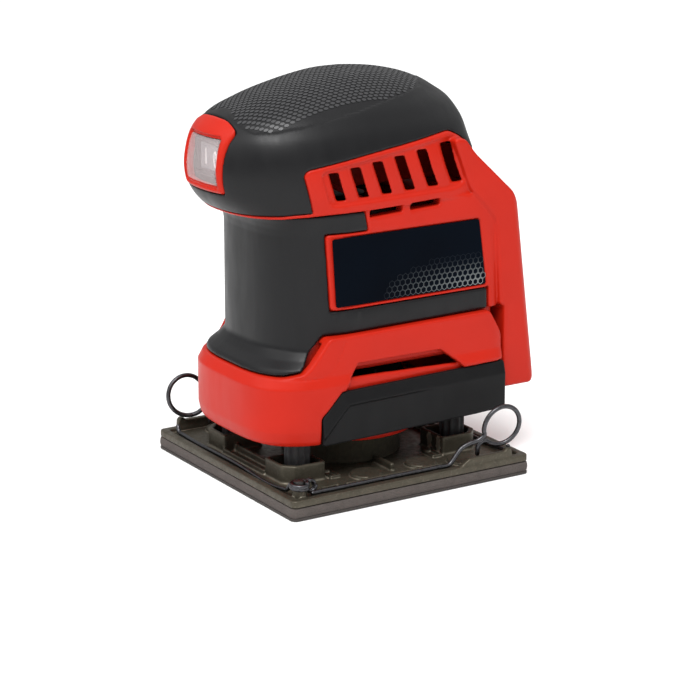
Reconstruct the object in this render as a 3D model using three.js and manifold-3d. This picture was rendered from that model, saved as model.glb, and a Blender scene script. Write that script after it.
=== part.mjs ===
// A cordless orbital palm sander: grip housing, motor, eccentric drive, clamp plate and battery foot.
// Units are millimetres. +Z is up, -Y is the front with the switch, +Y is the battery foot.
// The origin is the centre of the sanding pad's underside.
import * as THREE from "three";
import { mergeVertices } from "three/addons/utils/BufferGeometryUtils.js";
import Module from "manifold-3d";

const wasm = await Module();
wasm.setup();

// ---- Driving dimensions ----
const GAP = 0.3; // between pieces that touch
const OUTLINE_POINTS = 36; // points round each body section

const PAD = { width: 110, length: 112, thick: 5, corner: 2 };
const PLATE = { inset: 0.3, bottom: 5.2, floor: 6.5, rim: 8.1, rimWidth: 3.2 };
const POCKET = { x: 24.9, y: 37, width: 17.2, length: 18, wall: 1.5, top: 14, chamfer: 4 };
const HUB = { radius: 19, top: 13.2, bore: 13.3 };
const ORBIT = 1; // eccentricity: the plate's circles are twice this across
const PILLAR = { radius: 5.4, bottom: 7.3, top: 23.1, spigot: 2.8, spigotTop: 28 };
const FRAME_PLATE = { bottom: 23.5, top: 26.5, drum: 30, drumBore: 27.5, drumBottom: 17.5 };
const WALL = 2.6; // housing wall
const SLEEVE = 2; // soft grip thickness over the housing
const FOOT = { half: 36.3, bayHalf: 26, bayDepth: 11, bayBottom: 40, lip: 3.5, lipThick: 2.8 };
const MOTOR = { radius: 18.8, bottom: 54, top: 98, wall: 1.6, shaft: 2.5 };
const MAGNET = { inner: 13.2, bottom: 58, top: 92, from: 4 };
const WEIGHT = { radius: 22, hub: 9.6, bottom: 28, top: 33.5, from: -4 };
const BRUSH = { half: 2, from: 5.6, to: 11.6, bottom: 102.5, top: 106.7 };
const FAN = { radius: 26, bottom: 36, top: 45, blades: 10 };
const RIB = { half: 1.8, front: -34, rear: 40, bottom: 115, top: 150, rootTop: 126 }; // stiffens the head
const LIP = 1.3; // red edge that shows under the head grip
const SIDE_SEAT = 36.2; // how far in the side panels' seats go
const SIDE_FACE = 39.3; // the side panels' outer faces
const LABEL_SEAT = 34.5; // how far in the labels' seats go
const LABEL_OUT = 35.5; // the labels' outer faces

// The clamp wires: a bar along the rim, a finger ring, and a post that the near end is wound round.
const WIRE = { radius: 0.95, x: 49.8, z: 8.4, pivotY: -44.2 };
const RING = { x: 53.2, y: 43.5, z: 21.6, radius: 8.3, from: 200, sweep: 330, steps: 14 };
const POST = { x: 48.4, y: -49.2, radius: 2.9, top: 11.2 };
const FRONT_BAR = { y: -50.7, z: 8, end: -46, coilBottom: 11.4, coilTop: 13.4, coil: 4.2 };

// The switch: its frame lies on the head's front face, and its rocker turns about a vertical line.
const SWITCH = { z: 133, pivotY: -57, off: -7, frameBack: -56.6, frameTop: 149.4 };

// Where the motor turns, and where the plate hangs on its eccentric pin.
const MOTOR_Y = ORBIT;

// Body sections from the bottom up. Each row is one level: z, half width, front y, rear y,
// widest y, roundness of the front and roundness of the rear.
const section = (z, half, front, rear, middle, power, rearPower) => ({
  z, half, front, rear, middle, power, rearPower,
});
const SKIRT_RING = [
  section(22, 38, -53.6, 54.6, -15, 3.3, 26),
  section(24, 38.6, -54.9, 55, -15, 3.3, 26),
  section(28, 39, -55.8, 55, -15, 3.3, 26),
  section(45.6, 39, -55.8, 55, -15, 3.3, 26),
  section(49.6, 38, -53.4, 55, -15, 3.3, 26),
  section(66, 38, -53.4, 55, -15, 3.3, 26),
];
const COLUMN = [
  section(40, 35.4, -46, 54, -10, 2.6, 26),
  section(115, 35.4, -46, 54, -10, 2.6, 26),
];
const SLEEVE_SECTIONS = [
  section(49.9, 37.4, -53, 55, -15, 3.2, 26),
  section(52.5, 37, -51.8, 55, -14.5, 3.1, 26),
  section(58.5, 35.4, -46.4, 54, -10, 2.6, 26),
  section(60, 35.4, -46, 54, -10, 2.6, 26),
  section(104, 35.4, -46, 54, -10, 2.6, 26),
  section(107, 35.4, -46.6, 54, -10, 2.6, 26),
  section(109.5, 35.4, -47.8, 54, -10, 2.6, 26),
  section(111.6, 35.5, -49.6, 54, -10, 2.6, 26),
  section(113.6, 35.5, -51, 54, -10, 2.6, 26),
];
const HEAD = [
  section(107.4, 35.4, -46.4, 48, -10, 2.6, 6),
  section(110, 35.8, -52.6, 49, -10, 2.6, 6),
  section(114, 36.1, -58.4, 50, -10, 2.4, 6),
  section(120, 36.7, -63.2, 50, -10, 2.4, 5.2),
  section(128, 37, -65.3, 50, -10, 2.4, 4.3),
  section(136, 36.5, -64.7, 49.6, -10, 2.35, 3.3),
  section(142, 34.8, -63, 49.3, -9, 2.3, 2.8),
  section(148, 31.2, -58.6, 47, -7.5, 2.2, 2.4),
  section(154, 25.6, -47, 40, -6, 2.15, 2.2),
  section(159, 19, -31.5, 30.6, -4, 2.1, 2.1),
  section(162.4, 12.2, -17, 18.2, -2.6, 2, 2),
  section(164.3, 3, -6, 4, -1, 2, 2),
];

// ---- Materials ----
const material = (color, roughness, metalness) =>
  new THREE.MeshStandardMaterial({ color, roughness, metalness });
const RED = material(0xd9301f, 0.45, 0);
const BLACK = material(0x2b2b2d, 0.75, 0);
const LABEL = material(0x0a1018, 0.35, 0);
const CLEAR = material(0xd8d4d6, 0.2, 0);
CLEAR.transparent = true;
CLEAR.opacity = 0.5;
const GREY = material(0xa9b0b4, 0.5, 0);
const CAST = material(0x857d6b, 0.5, 0.8);
const FOAM = material(0x4b423e, 0.95, 0);
const STEEL = material(0x8d9094, 0.35, 1);
const DARK_STEEL = material(0x35322f, 0.4, 1);
const BRASS = material(0xb08d45, 0.35, 1);
const COPPER = material(0xa5552e, 0.4, 1);
const RUBBER = material(0x1b1b1c, 0.9, 0);
const FELT = material(0x3a3628, 0.95, 0);
const RED_LEAD = material(0xb3201c, 0.5, 0);

// ---- Solids ----

// A geometry as a solid: vertices merged, collapsed triangles dropped.
function solid(geometry) {
  const bare = geometry.clone();
  bare.deleteAttribute("normal");
  bare.deleteAttribute("uv");
  const merged = mergeVertices(bare, 1e-4);
  const kept = [];
  const index = merged.index.array;
  for (let i = 0; i < index.length; i += 3) {
    const [a, b, c] = [index[i], index[i + 1], index[i + 2]];
    if (a !== b && b !== c && a !== c) kept.push(a, b, c);
  }
  const vertProperties = new Float32Array(merged.attributes.position.array);
  const mesh = new wasm.Mesh({ numProp: 3, vertProperties, triVerts: new Uint32Array(kept) });
  return new wasm.Manifold(mesh);
}

// A solid back as a geometry for a mesh.
function geometryOf(made) {
  const mesh = made.getMesh();
  const points = new Float32Array(mesh.numVert * 3);
  for (let i = 0; i < mesh.numVert; i++) {
    const start = i * mesh.numProp;
    points.set(mesh.vertProperties.subarray(start, start + 3), i * 3);
  }
  const geometry = new THREE.BufferGeometry();
  geometry.setAttribute("position", new THREE.BufferAttribute(points, 3));
  geometry.setIndex(new THREE.BufferAttribute(mesh.triVerts, 1));
  const flat = geometry.toNonIndexed();
  flat.computeVertexNormals();
  return flat;
}

const join = (...solids) => solids.reduce((a, b) => a.add(b));
const cut = (from, ...tools) => tools.reduce((a, b) => a.subtract(b), from);
const turnedHalf = (made) => {
  const geometry = geometryOf(made);
  geometry.rotateZ(Math.PI);
  return solid(geometry);
};

function box(x0, x1, y0, y1, z0, z1) {
  const geometry = new THREE.BoxGeometry(x1 - x0, y1 - y0, z1 - z0);
  geometry.translate((x0 + x1) / 2, (y0 + y1) / 2, (z0 + z1) / 2);
  return solid(geometry);
}

// A cylinder along Z.
function round(radius, z0, z1, x = 0, y = 0, sides = 24) {
  const geometry = new THREE.CylinderGeometry(radius, radius, z1 - z0, sides);
  geometry.rotateX(Math.PI / 2);
  geometry.translate(x, y, (z0 + z1) / 2);
  return solid(geometry);
}

const ring = (outer, inner, z0, z1, x = 0, y = 0, sides = 24) =>
  cut(round(outer, z0, z1, x, y, sides), round(inner, z0 - 1, z1 + 1, x, y, sides));

// A solid of revolution about a vertical line, from [radius, z] points that go upwards.
function turned(profile, x = 0, y = 0, sides = 24) {
  const points = profile.map(([r, z]) => new THREE.Vector2(r, z));
  const geometry = new THREE.LatheGeometry(points, sides);
  geometry.rotateX(Math.PI / 2);
  geometry.translate(x, y, 0);
  return solid(geometry);
}

function shapeOf(points) {
  return new THREE.Shape(points.map(([a, b]) => new THREE.Vector2(a, b)));
}

// An outline of [y, z] points, pushed along X.
function sideways(points, x0, x1) {
  const geometry = new THREE.ExtrudeGeometry(shapeOf(points), { depth: x1 - x0, bevelEnabled: false });
  const basis = new THREE.Matrix4().makeBasis(
    new THREE.Vector3(0, 1, 0),
    new THREE.Vector3(0, 0, 1),
    new THREE.Vector3(1, 0, 0),
  );
  geometry.applyMatrix4(basis);
  geometry.translate(x0, 0, 0);
  return solid(geometry);
}

// An outline of [x, z] points, pushed along Y.
function lengthways(points, y0, y1) {
  const geometry = new THREE.ExtrudeGeometry(shapeOf(points), { depth: y1 - y0, bevelEnabled: false });
  geometry.rotateX(Math.PI / 2);
  geometry.translate(0, y1, 0);
  return solid(geometry);
}

// An outline of [x, y] points, pushed along Z.
function upright(points, z0, z1) {
  const geometry = new THREE.ExtrudeGeometry(shapeOf(points), { depth: z1 - z0, bevelEnabled: false });
  geometry.translate(0, 0, z0);
  return solid(geometry);
}

// A rectangle with round corners, pushed along Z.
function slab(width, length, corner, z0, z1) {
  const [w, l] = [width / 2 - corner, length / 2 - corner];
  const shape = new THREE.Shape();
  shape.absarc(w, l, corner, 0, Math.PI / 2);
  shape.absarc(-w, l, corner, Math.PI / 2, Math.PI);
  shape.absarc(-w, -l, corner, Math.PI, 1.5 * Math.PI);
  shape.absarc(w, -l, corner, 1.5 * Math.PI, 2 * Math.PI);
  const options = { depth: z1 - z0, bevelEnabled: false, curveSegments: 4 };
  const geometry = new THREE.ExtrudeGeometry(shape, options);
  geometry.translate(0, 0, z0);
  return solid(geometry);
}

// A wire or lead along a curve.
function swept(curve, radius, sides, steps) {
  const shape = new THREE.Shape();
  for (let i = 0; i < sides; i++) {
    const angle = (2 * Math.PI * i) / sides;
    const [a, b] = [radius * Math.cos(angle), radius * Math.sin(angle)];
    if (i) shape.lineTo(a, b);
    else shape.moveTo(a, b);
  }
  const options = { extrudePath: curve, steps, bevelEnabled: false };
  return solid(new THREE.ExtrudeGeometry(shape, options));
}

// The closed outline of one body section, drawn in by inset.
function outline(s, inset = 0) {
  const points = [];
  for (let i = 0; i < OUTLINE_POINTS; i++) {
    const angle = (2 * Math.PI * (i + 0.5)) / OUTLINE_POINTS;
    const [c, d] = [Math.cos(angle), Math.sin(angle)];
    const power = d > 0 ? s.rearPower : s.power;
    const reach = d > 0 ? s.rear - inset - s.middle : s.middle - s.front - inset;
    const x = (s.half - inset) * Math.sign(c) * Math.abs(c) ** (2 / power);
    const y = s.middle + reach * Math.sign(d) * Math.abs(d) ** (2 / power);
    points.push(new THREE.Vector3(x, y, s.z));
  }
  return points;
}

// A closed body through a stack of sections, drawn in by inset.
function loft(sections, inset = 0) {
  const loops = sections.map((s) => outline(s, inset));
  const positions = [];
  const push = (...points) => points.forEach((p) => positions.push(p.x, p.y, p.z));
  const middle = (loop) => {
    const sum = new THREE.Vector3();
    loop.forEach((p) => sum.add(p));
    return sum.divideScalar(loop.length);
  };
  for (let i = 0; i < OUTLINE_POINTS; i++) {
    const j = (i + 1) % OUTLINE_POINTS;
    for (let k = 0; k + 1 < loops.length; k++) {
      const [a, b] = [loops[k], loops[k + 1]];
      push(a[i], a[j], b[j], a[i], b[j], b[i]);
    }
  }
  const [low, high] = [loops[0], loops[loops.length - 1]];
  const [lowMiddle, highMiddle] = [middle(low), middle(high)];
  for (let i = 0; i < OUTLINE_POINTS; i++) {
    const j = (i + 1) % OUTLINE_POINTS;
    push(lowMiddle, low[j], low[i], highMiddle, high[i], high[j]);
  }
  const geometry = new THREE.BufferGeometry();
  geometry.setAttribute("position", new THREE.Float32BufferAttribute(positions, 3));
  return solid(geometry);
}

// The same outside drawn in, and pushed past both ends so that it cuts an open tube.
function cavity(sections, inset, below, above) {
  const inner = sections.map((s) => ({ ...s }));
  inner[0].z -= below;
  inner[inner.length - 1].z += above;
  return loft(inner, inset);
}

// ---- Side outlines, as [y, z] points ----
const SEAM = [[-80, 112.2], [-52, 111.8], [-44, 112], [-38, 112.6], [-26, 113.1], [60, 113.4]];
const VENT_PANEL = [
  [-33, 113.4], [-37.6, 129.4], [-36, 131.3], [-27, 132.8], [-9.7, 135.4], [9.3, 137.8],
  [22.4, 139.4], [30, 140.1], [36.4, 137.3], [60, 120], [60, 113.4],
];
const BUMPER_TOP = [
  [-80, 49.2], [-45, 49.8], [-38.6, 51.3], [-36, 53.7], [-28.3, 64.6],
  [47.4, 65.6], [54, 54.8], [55, 47.5], [58, 44.2],
];
const BUMPER_BOTTOM = [[58, 25.8], [4, 24.2], [-20, 21.5], [-80, 21.5]];
const SIDE_PANEL = [[-23.2, 42.6], [54.4, 44.1], [54.4, 24.2], [4, 22.6], [-32.2, 21.9], [-32.2, 32.9]];
const AIR_OUTLET = [[-17.4, 47.2], [31.6, 45.7], [23.3, 52.1], [-14.8, 53.4]];
const LABEL_FACE = [[-24.4, 75.8], [47, 76.2], [43.2, 103.8], [-26.2, 103.8]];
const LABEL_FIELD = [[-25.8, 74.7], [48.3, 75], [44.4, 104.9], [-27.6, 104.9]];
const BARE_COLUMN = [
  [-9.2, 103], [-9.2, 105.2], [-11.4, 114.5], [60, 114.5], [60, 66.2], [48.5, 66.2], [48.4, 75.2],
  [44, 76], [41, 103],
];
const FRONT_GRIP = [
  [-80, 49.6], [-46, 50.1], [-39, 51.7], [-36.4, 54], [-28.8, 64.9], [47.6, 65.9], [47.4, 74.6],
  [-26.1, 74.3], [-28, 105.3], [-9.6, 105.3], [-11.3, 112.6], [-26, 112.6], [-38, 112.2], [-44, 111.6],
  [-52, 111.4], [-80, 111.4],
];
const LEVEL_SLOTS = [
  [[-8.7, 110.1], [6.4, 110.8], [6.4, 113.4], [-8.7, 113]],
  [[10.1, 110.9], [24, 111.5], [24, 114.2], [10.1, 113.8]],
];
const SLOT_DEPTH = [26, 44]; // from inside the head to beyond its side
// The slanted slots: their width, and the y and z of the first one's ends with the step to the next.
const SLANTED_SLOTS = {
  count: 6, width: 4.8, top: [-29.2, 129.4], topStep: [10.1, 1.25], low: [-25.7, 118.1], lowStep: [10.7, 0.3],
};

const widened = (points, by) => {
  const centre = [0, 1].map((k) => points.reduce((sum, p) => sum + p[k], 0) / points.length);
  return points.map((p) => p.map((value, k) => value + by * Math.sign(value - centre[k])));
};

// ---- Screws that draw the two housing halves together, as [y, z] ----
const HOUSING_SCREWS = { upper: [41.5, 109.6], middle: [49.6, 89], lower: [49.6, 70.6], foot: [62.5, 35.8] };
const SCREW = { radius: 1.4, hole: 1.7, head: 2.8, headFrom: -31.4, headTo: -29.2, tip: 10 };
const SCREW_BOSS = { radius: 3.7, end: 31, seat: 3.1 };

// A cylinder along X.
function across(radius, x0, x1, y, z, sides = 10) {
  const geometry = new THREE.CylinderGeometry(radius, radius, x1 - x0, sides);
  geometry.rotateZ(Math.PI / 2);
  geometry.translate((x0 + x1) / 2, y, z);
  return solid(geometry);
}

// ---- The battery foot's tilted rear face ----
const FOOT_TOP = [63.1, 107.5];
const FOOT_LOW = [72.2, 37];
const FOOT_SLOPE = (FOOT_TOP[0] - FOOT_LOW[0]) / (FOOT_TOP[1] - FOOT_LOW[1]);
const footRear = (z) => FOOT_LOW[0] + FOOT_SLOPE * (z - FOOT_LOW[1]);

const bothSides = (points, inner, outer) =>
  join(sideways(points, inner, outer), sideways(points, -outer, -inner));

// Everything between two levels.
const between = (low, high) => box(-50, 50, -90, 90, low, high);

function footBlock(grow = 0) {
  const side = [
    [55.6 - grow, 31.6 - grow], [70, 31.6 - grow], [72 + grow, 33.6], [FOOT_LOW[0] + grow, FOOT_LOW[1]],
    [FOOT_TOP[0] + grow, FOOT_TOP[1]], [60.1 + grow, 112.4 + grow], [40.8 + grow, 130.3 + grow],
    [35.5, 137 + grow], [30, 137 + grow], [38, 116.5], [47.9, 106], [50.9, 102], [53.4, 67 - grow],
    [55.6 - grow, 66 - grow],
  ];
  const edge = 3;
  const half = FOOT.half + grow;
  const corner = (sign) => {
    const [outer, inner] = [sign * (half + 1), sign * (half - edge)];
    return upright([[outer, 60], [inner, 80], [outer, 80]], 0, 200);
  };
  return cut(sideways(side, -half, half), corner(1), corner(-1));
}

// The battery bay: an open-topped channel with an undercut behind two lips.
function batteryBay() {
  const [low, high] = [FOOT.bayBottom, 140];
  const channel = (half, near, far) => sideways(
    [
      [footRear(low) + near, low], [footRear(low) + far, low],
      [footRear(high) + far, high], [footRear(high) + near, high],
    ],
    -half,
    half,
  );
  return join(
    channel(FOOT.bayHalf, -FOOT.bayDepth, -FOOT.lipThick),
    channel(FOOT.bayHalf - FOOT.lip, -FOOT.lipThick - 0.5, 6),
  );
}

// ---- The housing ----
function ventSlots() {
  const { count, width, top, topStep, low, lowStep } = SLANTED_SLOTS;
  const slots = LEVEL_SLOTS.map((points) => bothSides(points, ...SLOT_DEPTH));
  for (let i = 0; i < count; i++) {
    const [topY, topZ] = top.map((value, k) => value + topStep[k] * i);
    const [lowY, lowZ] = low.map((value, k) => value + lowStep[k] * i);
    const points = [[lowY, lowZ], [lowY + width, lowZ], [topY + width, topZ], [topY, topZ]];
    slots.push(bothSides(points, ...SLOT_DEPTH));
  }
  return slots;
}

// The red two-part housing as one body, before it is split along the middle.
function housingShell() {
  const screws = Object.values(HOUSING_SCREWS);
  const bare = join(sideways(BARE_COLUMN, -50, 50), bothSides(LABEL_FIELD, 20, 50));
  const column = loft(COLUMN);
  const core = join(
    loft(COLUMN, SLEEVE + GAP).intersect(between(66.1, 114.5)),
    loft(COLUMN, 3.4).intersect(between(47, 66.3)),
    column.intersect(bare).intersect(between(66.2, 150)),
  );
  const lip = [...SEAM, ...SEAM.map(([y, z]) => [y, z + LIP]).reverse()];
  const head = loft(HEAD).intersect(join(sideways(VENT_PANEL, -50, 50), sideways(lip, -50, 50)));
  const headCavity = loft(HEAD, WALL + 0.4).intersect(between(113.5, 170));
  const hollow = join(cavity(COLUMN, 5.4, 10, 0), headCavity);
  const fanWeb = cut(between(48, 51.5), round(8.2, 40, 60, 0, MOTOR_Y));
  const motorHole = round(MOTOR.radius + GAP, 70, 80, 0, MOTOR_Y, 32);
  const motorWeb = cut(between(74, 76), motorHole, box(-12, 12, 10, 60, 70, 80));
  const webs = loft(COLUMN, 5).intersect(join(fanWeb, motorWeb));
  const rib = join(
    loft(HEAD, 3.4).intersect(box(-RIB.half, RIB.half, RIB.front, RIB.rear, RIB.bottom, RIB.top)),
    loft(HEAD, 2).intersect(box(-RIB.half, RIB.half, 20, 50, RIB.bottom, RIB.rootTop)),
  );
  const bosses = screws.map(([y, z]) => across(SCREW_BOSS.radius, -SCREW_BOSS.end, SCREW_BOSS.end, y, z));
  const bores = screws.map(([y, z]) => join(
    across(SCREW.hole, -40, SCREW.tip + 1, y, z),
    across(SCREW_BOSS.seat, -50, SCREW.headTo + GAP, y, z),
  ));
  const shell = join(cut(join(core, head, footBlock()), hollow), webs, rib, ...bosses);
  return cut(shell, batteryBay(), ...ventSlots(), bothSides(LABEL_FACE, LABEL_SEAT, 50), ...bores);
}

function lowerHousing() {
  const ringed = cut(loft(SKIRT_RING), cavity(SKIRT_RING, 4, 2, 2));
  const made = ringed.intersect(sideways([...BUMPER_TOP, ...BUMPER_BOTTOM], -50, 50));
  const seats = bothSides(widened(SIDE_PANEL, GAP), SIDE_SEAT, 50);
  return cut(made, seats, bothSides(AIR_OUTLET, 30, 50));
}

function frontGrip() {
  const ringed = cut(loft(SLEEVE_SECTIONS), cavity(SLEEVE_SECTIONS, SLEEVE, 1, 1));
  return ringed.intersect(sideways(FRONT_GRIP, -50, 50));
}

const SWITCH_OUTLINE = [
  [-14.2, 121.4], [14.2, 121.4], [14.5, 137], [15.6, 146.8], [11.4, 156], [-11.4, 156],
  [-15.6, 146.8], [-14.5, 137],
];
const SWITCH_WINDOW = [[-11.4, 124.2], [11.4, 124.2], [11, 142.2], [-11, 142.2]];

function headGrip() {
  const above = [...SEAM.map(([y, z]) => [y, z + LIP + GAP]), [60, 180], [-80, 180]];
  const outside = loft(HEAD).intersect(sideways(above, -50, 50));
  const wide = SWITCH_OUTLINE.map(([x, z]) => [x * 1.03, z + (z > SWITCH.z ? GAP : -GAP)]);
  const front = box(-60, 60, -90, SWITCH.frameBack + GAP, 100, SWITCH.frameTop + GAP);
  const mouth = lengthways(wide, -90, 0).intersect(front);
  const panel = sideways(widened(VENT_PANEL, GAP), -50, 50);
  const neck = loft(COLUMN, -0.2).intersect(between(100, 114));
  const shelf = loft(HEAD, -1).intersect(between(100, 113.5 + GAP));
  const rear = box(-60, 60, -20, 60, 100, 113.5 + GAP);
  return cut(outside, loft(HEAD, WALL), mouth, panel, footBlock(GAP), neck, shelf.intersect(rear));
}

function switchFrame() {
  const front = box(-60, 60, -90, SWITCH.frameBack, 100, SWITCH.frameTop);
  const skin = cut(loft(HEAD, -0.5), loft(HEAD, WALL + 0.6));
  const made = skin.intersect(lengthways(SWITCH_OUTLINE, -90, -40)).intersect(front);
  return cut(made, lengthways(SWITCH_WINDOW, -90, -40));
}

function switchCover() {
  const inner = SWITCH_WINDOW.map(([x, z]) => [x - GAP * Math.sign(x), z + (z > SWITCH.z ? -GAP : GAP)]);
  return cut(loft(HEAD, 0.3), loft(HEAD, 1.6)).intersect(lengthways(inner, -90, -50));
}

// ---- The plate ----
// The raised features of one half of the tray: ribs by their box, bosses by radius, top and centre.
const PLATE_RIBS = [
  [44.2, 45.8, -26, 20, 6, 8],
  [26, 39, -0.9, 0.9, 6, 9.5],
];
const PLATE_CROSS_RIB = { half: 16, y: 40, thick: 1.6, top: 9.5 };
const PLATE_BOSSES = [[6.5, 38, -12], [6.5, 38, 14], [7, 44, 31]];
const BOSS_TOP = 7.6;
const LATCH = [[21.5, 7.5], [27, 10.9], [44.5, 10.9], [45.6, 11.8], [48.2, 11.8], [49.4, 10.4], [49.4, 7.5]];
const LATCH_INNER = 51.9;
const LATCH_OUTER = 54.2;

// The outline of one spring pocket, its outer corner cut off, drawn in by inset.
function pocketOutline(x, y, inset) {
  const [w, l, c] = [POCKET.width / 2 - inset, POCKET.length / 2 - inset, POCKET.chamfer];
  const points = [[-w, -l], [w, -l], [w, l - c], [w - c, l], [-w, l]];
  const placed = points.map(([a, b]) => [x + a * Math.sign(x), y + b * Math.sign(y)]);
  return x * y > 0 ? placed : placed.reverse();
}

// What stands on one half of the tray. The other half is the same, turned by half a turn.
function plateHalf() {
  const rib = PLATE_CROSS_RIB;
  return join(
    round(POST.radius, PLATE.floor - 0.5, POST.top, POST.x, POST.y, 16),
    sideways(LATCH, LATCH_INNER, LATCH_OUTER),
    box(-rib.half, rib.half, rib.y - rib.thick / 2, rib.y + rib.thick / 2, 6, rib.top),
    ...PLATE_RIBS.map((sides) => box(...sides)),
    ...PLATE_BOSSES.map(([radius, x, y]) => round(radius, 6, BOSS_TOP, x, y)),
  );
}

function basePlate() {
  const [w, l] = [PAD.width - 2 * PLATE.inset, PAD.length - 2 * PLATE.inset];
  const body = slab(w, l, PAD.corner, PLATE.bottom, PLATE.rim);
  const tray = slab(w - 2 * PLATE.rimWidth, l - 2 * PLATE.rimWidth, 1, PLATE.floor, PLATE.rim + 1);
  const half = plateHalf();
  const corners = [[1, 1], [-1, 1], [-1, -1], [1, -1]].map(([a, b]) => [a * POCKET.x, b * POCKET.y]);
  const walls = corners.map(([x, y]) => upright(pocketOutline(x, y, 0), PLATE.floor - 0.5, POCKET.top));
  const holes = corners.map(([x, y]) =>
    upright(pocketOutline(x, y, POCKET.wall), PLATE.floor, POCKET.top + 1));
  const hub = round(HUB.radius, 6, HUB.top, 0, 0, 32);
  const bore = join(
    round(HUB.bore, 8.2, 20, 0, 0, 32),
    round(6.4, 6.4, 10),
    round(2, 0, 10, 0, 0, 12),
  );
  return cut(join(cut(body, tray), ...walls, hub, half, turnedHalf(half)), ...holes, bore);
}

// ---- The clamp wires ----
const point = (x, y, z) => new THREE.Vector3(x, y, z);
const smoothLine = (points) => new THREE.CatmullRomCurve3(points, false, "centripetal");

// A straight bar along the rim that rises into a finger ring, crosses itself and ends on the plate.
function clampWire() {
  const { x, z } = WIRE;
  const points = [
    point(x, WIRE.pivotY, z), point(x, -30, z), point(x, -5, z), point(x, 14, z), point(x, 20, z + 0.2),
    point(x, 22.6, z + 2.8), point(x, 25.6, z + 5.9), point(x + 0.4, 29.5, z + 7.5),
    point(x + 0.9, 33.4, z + 8.4),
  ];
  for (let i = 0; i <= RING.steps; i++) {
    const share = i / RING.steps;
    const angle = THREE.MathUtils.degToRad(RING.from - RING.sweep * share);
    const lean = (RING.x - x) * Math.sin(Math.PI * share) + 1.6 * (1 - share) - 1.2 * share;
    const [aside, up] = [RING.radius * Math.cos(angle), RING.radius * Math.sin(angle)];
    points.push(point(x + lean, RING.y + aside, RING.z + up));
  }
  points.push(point(x - 1.9, 35.4, 13.6), point(x - 2.1, 35, 9.8));
  return swept(smoothLine(points), WIRE.radius, 6, 56);
}

// The wound end round the post, and the bar that runs from it along the front of the tray.
function clampEyelet() {
  const { y, z, end, coil, coilBottom, coilTop } = FRONT_BAR;
  const bar = [
    point(end, y, z), point(0, y, z), point(38, y, z), point(42, y, z + 0.8),
    point(43.4, y + 0.3, z + 3.8), point(46, y + 0.9, coilTop - 0.6),
  ];
  return join(
    round(coil, coilBottom, coilTop, POST.x, POST.y, 16),
    round(2.2, coilTop - 0.4, coilTop + 0.8, POST.x, POST.y, 16),
    swept(smoothLine(bar), 0.9, 6, 20),
  );
}

// ---- The drive ----
function motorCan() {
  const { radius, bottom, top, wall } = MOTOR;
  const outside = round(radius, bottom, top, 0, MOTOR_Y, 32);
  const inside = round(radius - wall, bottom + 2, top + 1, 0, MOTOR_Y, 32);
  return cut(outside, inside, round(6.6, bottom - 1, bottom + 3, 0, MOTOR_Y));
}

function magnet(sign) {
  const { inner, bottom, top, from } = MAGNET;
  const shell = ring(MOTOR.radius - MOTOR.wall - GAP, inner, bottom, top, 0, MOTOR_Y, 32);
  return shell.intersect(sign > 0 ? box(from, 30, -30, 30, 50, 99) : box(-30, -from, -30, 30, 50, 99));
}

function endCap() {
  const made = join(
    round(MOTOR.radius, MOTOR.top + GAP, 104, 0, MOTOR_Y, 32),
    round(8.6, 103, 113, 0, MOTOR_Y),
    box(-14, -8.8, MOTOR_Y - 4.5, MOTOR_Y + 4.5, 103, 108.5),
    box(8.8, 14, MOTOR_Y - 4.5, MOTOR_Y + 4.5, 103, 108.5),
  );
  return cut(
    made,
    round(5.6, 90, 111.6, 0, MOTOR_Y),
    round(15.5, 90, 101.5, 0, MOTOR_Y),
    box(-17, 17, MOTOR_Y - 2.3, MOTOR_Y + 2.3, 95, 107),
  );
}

const brush = (x0, x1) =>
  box(x0, x1, MOTOR_Y - BRUSH.half, MOTOR_Y + BRUSH.half, BRUSH.bottom, BRUSH.top);

function rotorPieces() {
  const y = MOTOR_Y;
  const shaft = join(
    round(MOTOR.shaft, 34, 110.5, 0, y, 16),
    round(7, 26.5, 34.5, 0, y),
    round(4.6, 9.3, 27, 0, 0),
  );
  const tapped = round(1.8, 9, 20, 0, 0, 12);
  const fanDisc = round(FAN.radius, FAN.bottom, FAN.bottom + 1.6, 0, y, 32);
  let fan = join(fanDisc, round(6, FAN.bottom, FAN.top, 0, y));
  for (let i = 0; i < FAN.blades; i++) {
    const angle = (2 * Math.PI * i) / FAN.blades;
    const blade = new THREE.BoxGeometry(16, 1.2, FAN.top - FAN.bottom - 0.8);
    blade.translate(16.5, 0, (FAN.top + FAN.bottom) / 2);
    blade.rotateZ(angle);
    blade.translate(0, y, 0);
    fan = fan.add(solid(blade));
  }
  fan = cut(fan, round(MOTOR.shaft + 0.05, 30, 50, 0, y, 16));
  const disc = round(WEIGHT.radius, WEIGHT.bottom, WEIGHT.top, 0, y, 32);
  const weight = join(
    cut(disc, box(-30, 30, y + WEIGHT.from, y + 30, 20, 40)),
    round(WEIGHT.hub, WEIGHT.bottom, WEIGHT.top, 0, y),
  );
  return {
    shaft: cut(shaft, tapped),
    screw: join(round(4.2, 7, 9, 0, 0, 16), round(1.6, 8.9, 18, 0, 0, 12)),
    fan,
    weight: cut(weight, round(7.05, 20, 40, 0, y)),
    armature: cut(armatureCore(y), round(MOTOR.shaft + 0.05, 50, 100, 0, y, 16)),
    commutator: cut(round(5.2, 94.4, 105.5, 0, y), round(MOTOR.shaft + 0.05, 90, 108, 0, y, 16)),
  };
}

function armatureCore(y) {
  let core = join(round(12.4, 62, 88, 0, y, 30), round(10.4, 58.5, 92.5, 0, y, 20));
  for (let i = 0; i < 5; i++) {
    const angle = (2 * Math.PI * i) / 5;
    core = cut(core, round(1.2, 60, 90, 11.9 * Math.cos(angle), y + 11.9 * Math.sin(angle), 8));
  }
  return core;
}

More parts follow.
